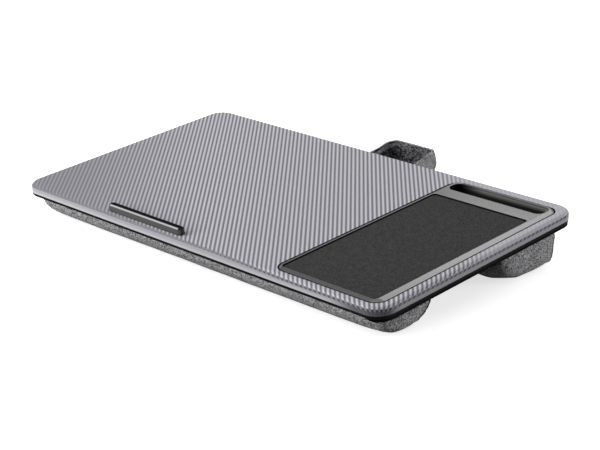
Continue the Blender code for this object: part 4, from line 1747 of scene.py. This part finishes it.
@dataclass
class Backing:
    """The lining under the base panel that both rolls are sewn to."""

    half_length: float = 0.2564
    front: float = -0.148
    back: float = 0.1335
    top: float = -0.0128
    thickness: float = 0.0012
    columns: int = 96
    rows: int = 56
    # a black tape under each short side, as painted shade
    tape_inset: float = 0.0011
    tape_width: float = 0.007
    tape_top: float = -0.01235
    tape_thickness: float = 0.0034
    tape_edge: float = 0.0003
    tape_taper: int = 6
    tape_from_left: float = 0.264
    tape_from_right: float = 0.248
    slack: float = 0.0006  # how far the lower face sags between the rolls
    slack_front: float = -0.066
    slack_back: float = 0.030
    slack_ease: float = 0.01

    def build(self) -> None:
        """Makes the sheet, with slack in its lower face between the rolls."""
        bm = bmesh.new()
        grid = []
        for row in range(self.rows + 1):
            y = self.front + (self.back - self.front) * row / self.rows
            line = []
            for column in range(self.columns + 1):
                x = self.half_length * (2 * column / self.columns - 1)
                wave = noise.noise(Vector((x / 0.03, y / 0.012, 0.7)))
                rise = smoothstep((y - self.slack_front) / self.slack_ease)
                valley = rise * smoothstep((self.slack_back - y) / self.slack_ease)
                sag = self.slack * valley * (1 + wave)
                line.append(bm.verts.new((x, y, self.top - self.thickness - sag)))
            grid.append(line)
        for first, second in zip(grid, grid[1:]):
            for i in range(self.columns):
                bm.faces.new((first[i], second[i], second[i + 1], first[i + 1]))
        lifted = bmesh.ops.extrude_face_region(bm, geom=list(bm.faces))
        for item in lifted["geom"]:
            if isinstance(item, bmesh.types.BMVert):
                item.co.z = self.top
        bmesh.ops.recalc_face_normals(bm, faces=bm.faces)
        mesh = bpy.data.meshes.new("backing_sheet")
        bm.to_mesh(mesh)
        bm.free()
        sheet = place_piece(
            mesh, "backing_sheet", [Surface.BACKING], ["cushion_backing"]
        )
        for side, word in ((-1, "left"), (1, "right")):
            place_piece(
                self.tape_mesh(side),
                f"shade_tape_{word}",
                [Surface.SHADE_TAPE],
                crisp_degrees=CRISP,
            )

    def tape_mesh(self, side: int) -> bpy.types.Mesh:
        """A folded tape under a short side of the base panel, round both of its corners, black as
        painted shade.

        Args:
            side: -1 for the left side and 1 for the right one.

        Returns:
            The mesh in the desk's frame.
        """
        plan = RoundedPlan(Board.size, (0, 0), Board.corner, Board.corner_steps)
        start = self.tape_from_right if side > 0 else self.tape_from_left
        outlines = zip(plan.points(self.tape_inset), plan.points(self.tape_inset + self.tape_width))
        pairs = [pair for pair in outlines if side * pair[0][0] > start]
        pairs.sort(key=lambda pair: (pair[0][1], side * pair[0][0] * math.copysign(1, -pair[0][1])))
        rows = []
        top = self.tape_top
        edge = self.tape_edge
        for i, ((x, y), (u, v)) in enumerate(pairs):
            taper = smoothstep((min(i, len(pairs) - 1 - i) + 1) / self.tape_taper)
            bottom = top - 2 * edge - (self.tape_thickness - 2 * edge) * taper
            inward = Vector((u - x, v - y, 0)).normalized()
            near, far = Vector((x, y, 0)), Vector((u, v, 0))
            section = (
                (near, top),
                (near, bottom + edge),
                (near + inward * edge, bottom),
                (far - inward * edge, bottom),
                (far, bottom + edge),
                (far, top),
            )
            rows.append([Vector((spot.x, spot.y, z)) for spot, z in section])
        return sweep(rows, False, "shade_tape")


@dataclass
class Handle:
    """The padded carry handle, its stitching and the two tabs that it is sewn to."""

    span: float = 0.069
    reach: float = 0.0685
    width: float = 0.025
    thickness: float = 0.004
    corner: float = 0.013
    axis: tuple[float, float, float] = (0, 0.143, -0.0282)
    rise_degrees: float = 10.5
    tip_flare: float = -0.0006
    root_flare: float = 0.006
    right_corner: float = 0.0042
    deeper: float = 0.002
    twist: float = 0.006
    stitch_inset: float = 0.0034
    stitch_step: float = 0.0032
    stitch_length: float = 0.0021
    stitch_radius: float = 0.0003
    tab_thickness: float = 0.0025
    tab_flange: float = 0.016
    tab_depth: float = 0.019
    gap: float = 0.0003
    tab_edge: float = 0.00055
    flare_rise: float = 0.010  # the left root's bow swells over this way from the axis
    flare_hold: float = 0.012  # and fades from here
    flare_fade: float = 0.035  # over this way
    rim_power: int = 8  # how squarely the padding ends at the strap's rims
    seam_pinch: float = 0.42  # how much of its thickness the strap loses at a seam
    seam_spread: float = 0.09
    padding: float = 1.12
    padding_fall: float = 0.18
    ripple: float = 0.22
    ripple_size: float = 0.009
    edge_ripple: float = 0.015
    sag_reach: float = 0.04  # how far from the axis the lower rim hangs fully deeper
    levels: int = 18  # faces over the strap's height
    crowding: float = 0.35  # how much closer they lie at its rims
    lap_levels: int = 3  # how many of them the cover's strip laps over the lining
    lap_end: int = 27  # station along the loop where that strip has run out
    root_steps: float = 8.35  # of the quarter turn that rounds each root
    root_cut: float = 0.35  # how much of the first step is left off

    def frame(self) -> Matrix:
        """The handle's own frame: its axis, turned up as the loop stands."""
        turn = Matrix.Rotation(math.radians(self.rise_degrees), 4, "X")
        return DESK.matrix() @ Matrix.Translation(self.axis) @ turn

    def stations(self) -> list[tuple[float, float, float]]:
        """The strap's middle line in its own plane, with half its height at each point.

        Returns:
            Points from the left root to the right one.
        """
        half = self.width / 2
        side = self.span / 2 - self.thickness / 2
        tip = self.reach - self.thickness / 2
        arms = []
        for sign, corner in ((-1, self.corner), (1, self.right_corner)):
            flare = self.root_flare if sign < 0 else 0.0
            arm = []
            for i in range(9):
                angle = math.pi / 2 * (i + self.root_cut) / self.root_steps
                arm.append((sign * side, -half * math.cos(angle), half * math.sin(angle)))
            straight = tip - corner
            for i in range(1, 12):
                y = straight * i / 12
                fade = 1 - smoothstep((y - self.flare_hold) / self.flare_fade)
                bow = flare * smoothstep(y / self.flare_rise) * fade
                reach = side + bow + (self.tip_flare if sign > 0 else 0) * smoothstep(i / 12)
                arm.append((sign * reach, y, half))
            outer = side + (self.tip_flare if sign > 0 else 0)
            for i in range(11):
                angle = math.pi / 2 * i / 10
                x = outer - corner * (1 - math.cos(angle))
                arm.append((sign * x, tip - corner * (1 - math.sin(angle)), half))
            for i in range(1, 6):
                arm.append((sign * (outer - corner) * (1 - i / 6), tip, half))
            arms.append(arm)
        return [*arms[0], (0.0, tip, half), *reversed(arms[1])]

    def half_thickness(self, share: float) -> float:
        """Half the strap's thickness at a height: padded between its seams and pinched at them.

        Args:
            share: the height over the strap's middle, as a share of half its width.

        Returns:
            The distance from the strap's middle to its face.
        """
        seam = 1 - 2 * self.stitch_inset / self.width
        pinch = self.seam_pinch * math.exp(-(((abs(share) - seam) / self.seam_spread) ** 2))
        round_rim = math.sqrt(max(1 - abs(share) ** self.rim_power, 0.0))
        crown = self.padding - self.padding_fall * share * share
        return self.thickness / 2 * (crown - pinch) * round_rim

    def strap_mesh(self) -> bpy.types.Mesh:
        """The strap itself.

        Returns:
            The mesh in the handle's frame.
        """
        stations = self.stations()
        heights = []
        for i in range(self.levels + 1):
            crowded = math.sin(math.pi * (i / self.levels - 0.5))
            even = 2 * i / self.levels - 1
            heights.append(self.crowding * crowded + (1 - self.crowding) * even)
        rows = []
        for i, (x, y, half) in enumerate(stations):
            before = stations[max(i - 1, 0)]
            after = stations[min(i + 1, len(stations) - 1)]
            along = Vector((after[0] - before[0], after[1] - before[1], 0)).normalized()
            outward = Vector((-along.y, along.x, 0))
            row = []
            for side, order in ((1, heights), (-1, heights[-2:0:-1])):
                for share in order:
                    reach = self.half_thickness(share)
                    ripple = noise.noise(Vector((x, y, share * half)) / self.ripple_size)
                    spot = Vector((x, y, 0)) + outward * side * reach * (1 + self.ripple * ripple)
                    low = max(-share, 0.0) ** 3 * smoothstep(y / self.sag_reach)
                    spot.y -= self.twist * low
                    uneven = share * half * (1 + self.edge_ripple * ripple)
                    spot.z = uneven - self.deeper * low
                    row.append(spot)
            rows.append(row)
        mesh = sweep(rows, False, "handle_loop")
        # Inside, painted shade: the dark lining ends in a dark seam under the rim. On the left arm
        # a strip of the cover laps over below that seam.
        around = len(rows[0])
        for i, face in enumerate(mesh.polygons[: around * (len(rows) - 1)]):
            place = i % around - len(heights)
            station = i // around
            lap = max(min(self.lap_levels, self.lap_end - station), 0)
            face.material_index = 1 if place >= 0 and not 2 <= place < 2 + lap else 0
        return mesh

    def stitch_mesh(self) -> bpy.types.Mesh:
        """Every stitch of the strap, two rows on each face.

        Returns:
            The mesh in the handle's frame.
        """
        bm = bmesh.new()
        line = [Vector((x, y, 0)) for x, y, half in self.stations() if half > self.width / 2 - MM]
        height = self.width / 2 - self.stitch_inset
        run = 0.0
        due = self.stitch_step
        lift = self.half_thickness(1 - 2 * self.stitch_inset / self.width)
        for start, end in zip(line, line[1:]):
            length = (end - start).length
            along = (end - start).normalized()
            outward = Vector((-along.y, along.x, 0))
            while run + length > due:
                spot = start + along * (due - run)
                for side in (1, -1):
                    for level in (height, -height):
                        centre = spot + outward * side * (lift + self.stitch_radius * 0.3)
                        centre.z = level
                        self.add_stitch(bm, centre, along)
                due += self.stitch_step
            run += length
        mesh = bpy.data.meshes.new("handle_stitches")
        bm.to_mesh(mesh)
        bm.free()
        return mesh

    def add_stitch(self, bm: bmesh.types.BMesh, centre: Vector, along: Vector) -> None:
        """Adds one stitch, a short grain of thread.

        Args:
            bm: mesh that it goes into.
            centre: its middle.
            along: its direction.
        """
        turn = along.to_track_quat("Z", "Y").to_matrix().to_4x4()
        size = Matrix.Diagonal((1, 1, self.stitch_length / 2 / self.stitch_radius, 1))
        bmesh.ops.create_icosphere(
            bm,
            subdivisions=1,
            radius=self.stitch_radius,
            matrix=Matrix.Translation(centre) @ turn @ size,
        )

    def tab_mesh(self, side: int) -> bpy.types.Mesh:
        """A folded tab: a flange under the base panel and a leaf beside the strap's root.

        Args:
            side: -1 for the left tab and 1 for the right one.

        Returns:
            The mesh in the desk's frame.
        """
        outer = self.span / 2 - self.thickness - self.gap
        top = Backing.top
        bottom = self.axis[2] - self.width / 2
        under = top - self.tab_thickness / 2
        outline = (
            (outer, top),
            (outer - self.tab_flange, top),
            (outer - self.tab_flange, under),
            (outer - self.tab_thickness, under),
            (outer - self.tab_thickness, bottom),
            (outer, bottom),
        )
        bm = bmesh.new()
        front = self.axis[1] - self.tab_depth / 2
        face = bm.faces.new([bm.verts.new((side * x, front, z)) for x, z in outline])
        swept = bmesh.ops.extrude_face_region(bm, geom=[face])
        moved = [v for v in swept["geom"] if isinstance(v, bmesh.types.BMVert)]
        bmesh.ops.translate(bm, vec=(0, self.tab_depth, 0), verts=moved)
        bmesh.ops.recalc_face_normals(bm, faces=bm.faces)
        bmesh.ops.bevel(
            bm, geom=bm.edges[:], offset=self.tab_edge, segments=3, profile=0.5, affect="EDGES"
        )
        mesh = bpy.data.meshes.new("handle_leaf")
        bm.to_mesh(mesh)
        bm.free()
        return mesh

    def build(self) -> None:
        """Makes the strap, its stitches and both tabs."""
        loop = self.strap_mesh()
        loop.transform(self.frame())
        strap = place_piece(
            loop,
            "handle_loop",
            [Surface.STRAP, Surface.SHADE_LINING],
            ["handle_strap"],
            "carry_handle",
            Matrix(),
        )
        finer = strap.modifiers.new("finer cloth", "SUBSURF")
        finer.levels = 1
        finer.render_levels = 1
        stitches = self.stitch_mesh()
        stitches.transform(self.frame())
        place_piece(
            stitches,
            "handle_stitches",
            [Surface.THREAD],
            (),
            "carry_handle",
            Matrix(),
        )
        for side, word in ((-1, "left"), (1, "right")):
            tab = place_piece(
                self.tab_mesh(side),
                f"handle_leaf_{word}",
                [Surface.STRAP],
                [f"handle_tab_{word}"],
                crisp_degrees=CRISP,
            )


@dataclass
class Studio:
    """The camera at the photograph's angle, soft lamps, a pale floor and a plain studio."""

    camera_at: tuple[float, float, float] = (1.18190, -1.21650, 0.62656)
    camera_target: tuple[float, float, float] = (0.06813, -0.08229, 0.04402)
    roll_degrees: float = -0.35
    focal_length_mm: float = 98.58
    surround: tuple[tuple[float, float], ...] = (
        (0.0, 0.25),
        (0.34, 0.7),
        (0.60, 0.1),
        (0.70, 0.1),
        (0.88, 0.75),
    )  # sine of the height over the horizon, and how bright the studio is there
    camera_side: float = 0.25  # how bright the camera's own side is
    camera_way: tuple[float, float] = (0.71, -0.71)  # towards that side, seen from above
    camera_span: Span = (0.1, 0.85)  # how far that way it darkens
    floor_reach: float = 8.0
    floor_seen: str = "F4F4F4"
    floor_bounce: str = "626262"  # what the floor throws back on the desk
    floor_glow: float = 0.68
    lamps: tuple[tuple[str, tuple[float, float, float], float, float], ...] = (
        ("left softbox", (-1.37, -0.875, 1.06), 0.7, 15.0),
        ("back softbox", (-0.60, 1.36, 1.32), 0.8, 4.0),
        ("front softbox", (-0.75, -1.78, 0.52), 0.9, 26.0),
        ("right softbox", (1.60, 1.17, 0.40), 0.8, 15.0),
    )

    def build(self) -> None:
        """Puts up the whole studio."""
        self.camera()
        self.world()
        self.floor()
        for name, place, size, power in self.lamps:
            lamp = bpy.data.lights.new(name, "AREA")
            lamp.size = size
            lamp.energy = power
            holder = bpy.data.objects.new(name, lamp)
            holder.location = place
            holder.rotation_euler = (-Vector(place)).to_track_quat("-Z", "Y").to_euler()
            bpy.context.scene.collection.objects.link(holder)
        bpy.context.scene.view_settings.view_transform = "Standard"

    def camera(self) -> None:
        """Sets the camera up as the photograph shows the desk."""
        lens = bpy.data.cameras.new("camera")
        lens.lens = self.focal_length_mm
        lens.sensor_width = 36
        camera = bpy.data.objects.new("camera", lens)
        aim = Vector(self.camera_target) - Vector(self.camera_at)
        level = aim.to_track_quat("-Z", "Y").to_matrix().to_4x4()
        roll = Matrix.Rotation(math.radians(self.roll_degrees), 4, "Z")
        camera.matrix_world = Matrix.Translation(self.camera_at) @ level @ roll
        bpy.context.scene.collection.objects.link(camera)
        bpy.context.scene.camera = camera

    def world(self) -> None:
        """The studio round the desk: pale walls, a dim band over them and a broad light above."""
        world = bpy.data.worlds.new("studio surround")
        world.use_nodes = True
        bpy.context.scene.world = world
        tree = world.node_tree
        tree.nodes.clear()
        place = add_node(tree, "TexCoord")
        height = add_node(tree, "SeparateXYZ", inputs={0: place.outputs["Generated"]})
        ramp = add_node(tree, "ValToRGB", inputs={"Fac": height.outputs["Z"]})
        stops = ramp.color_ramp.elements
        while len(stops) < len(self.surround):
            stops.new(1.0)
        for stop, (spot, level) in zip(stops, self.surround):
            stop.position = spot
            stop.color = (level, level, level, 1)
        # The camera's own side of the studio is dark
        right = add_node(tree, "Math", MULTIPLY, {0: height.outputs["X"], 1: self.camera_way[0]})
        toward = add_node(
            tree,
            "Math",
            MULTIPLY_ADD,
            {0: height.outputs["Y"], 1: self.camera_way[1], 2: right.outputs[0]},
        )
        level = add_node(
            tree,
            "MapRange",
            SMOOTH,
            {
                "Value": toward.outputs[0],
                "From Min": self.camera_span[0],
                "From Max": self.camera_span[1],
                "To Min": 1.0,
                "To Max": self.camera_side,
            },
        )
        shine = add_node(
            tree,
            "Background",
            inputs={"Color": ramp.outputs["Color"], "Strength": level.outputs[0]},
        )
        add_node(tree, "OutputWorld", inputs={"Surface": shine.outputs[0]})

    def floor(self) -> None:
        """A matt white table top that keeps the desk's shadow."""
        bm = bmesh.new()
        bmesh.ops.create_grid(bm, x_segments=1, y_segments=1, size=self.floor_reach)
        mesh = bpy.data.meshes.new("floor")
        bm.to_mesh(mesh)
        bm.free()
        material = bpy.data.materials.new("white table top")
        material.use_nodes = True
        tree = material.node_tree
        shader = tree.nodes["Principled BSDF"]
        shader.inputs["Roughness"].default_value = 0.9
        shader.inputs["Specular IOR Level"].default_value = 0.0
        path = add_node(tree, "LightPath")
        cover = add_node(
            tree,
            "Mix",
            COLOURS,
            {
                "Factor": path.outputs["Is Diffuse Ray"],
                COLOUR_A: linear_colour(self.floor_seen),
                COLOUR_B: linear_colour(self.floor_bounce),
            },
        )
        tree.links.new(cover.outputs[COLOUR_OUT], shader.inputs["Base Color"])
        seen = add_node(tree, "Math", SUBTRACT, {0: 1.0, 1: path.outputs["Is Diffuse Ray"]})
        glow = add_node(tree, "Math", MULTIPLY, {0: seen.outputs[0], 1: self.floor_glow})
        shader.inputs["Emission Color"].default_value = (1, 1, 1, 1)
        tree.links.new(glow.outputs[0], shader.inputs["Emission Strength"])
        mesh.materials.append(material)
        floor = bpy.data.objects.new("floor", mesh)
        bpy.context.scene.collection.objects.link(floor)


def main() -> None:
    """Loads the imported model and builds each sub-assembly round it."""
    logging.basicConfig(level=logging.INFO, format="%(name)s: %(message)s")
    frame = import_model()
    Studio().build()
    Board().build(frame)
    Tray().build()
    Ledge().build()
    Backing().build()
    rolls = (
        Roll(
            "front_bolster",
            -0.106,
            0.084,
            0.0262,
            lumps=0.0003,
            seed=1.3,
            cord=Surface.SHADE_WELT,
            back_roundness=1.95,
            end_back_share=0.92,
            left_front_share=0.74,
            pressure=2.0,
            slack=0.0,
            most_moved=0.003,
            gather=0.0,
        ),
        Roll(
            "rear_bolster",
            0.08075,
            0.1055,
            0.0395,
            lumps=0.0013,
            seed=7.9,
            cord=Surface.HEATHER,
            back_roundness=5.0,
            end_back_share=0.95,
            pinch=0.16,
        ),
    )
    for roll in rolls:
        roll.build()
    Handle().build()


if __name__ == "__main__":
    main()
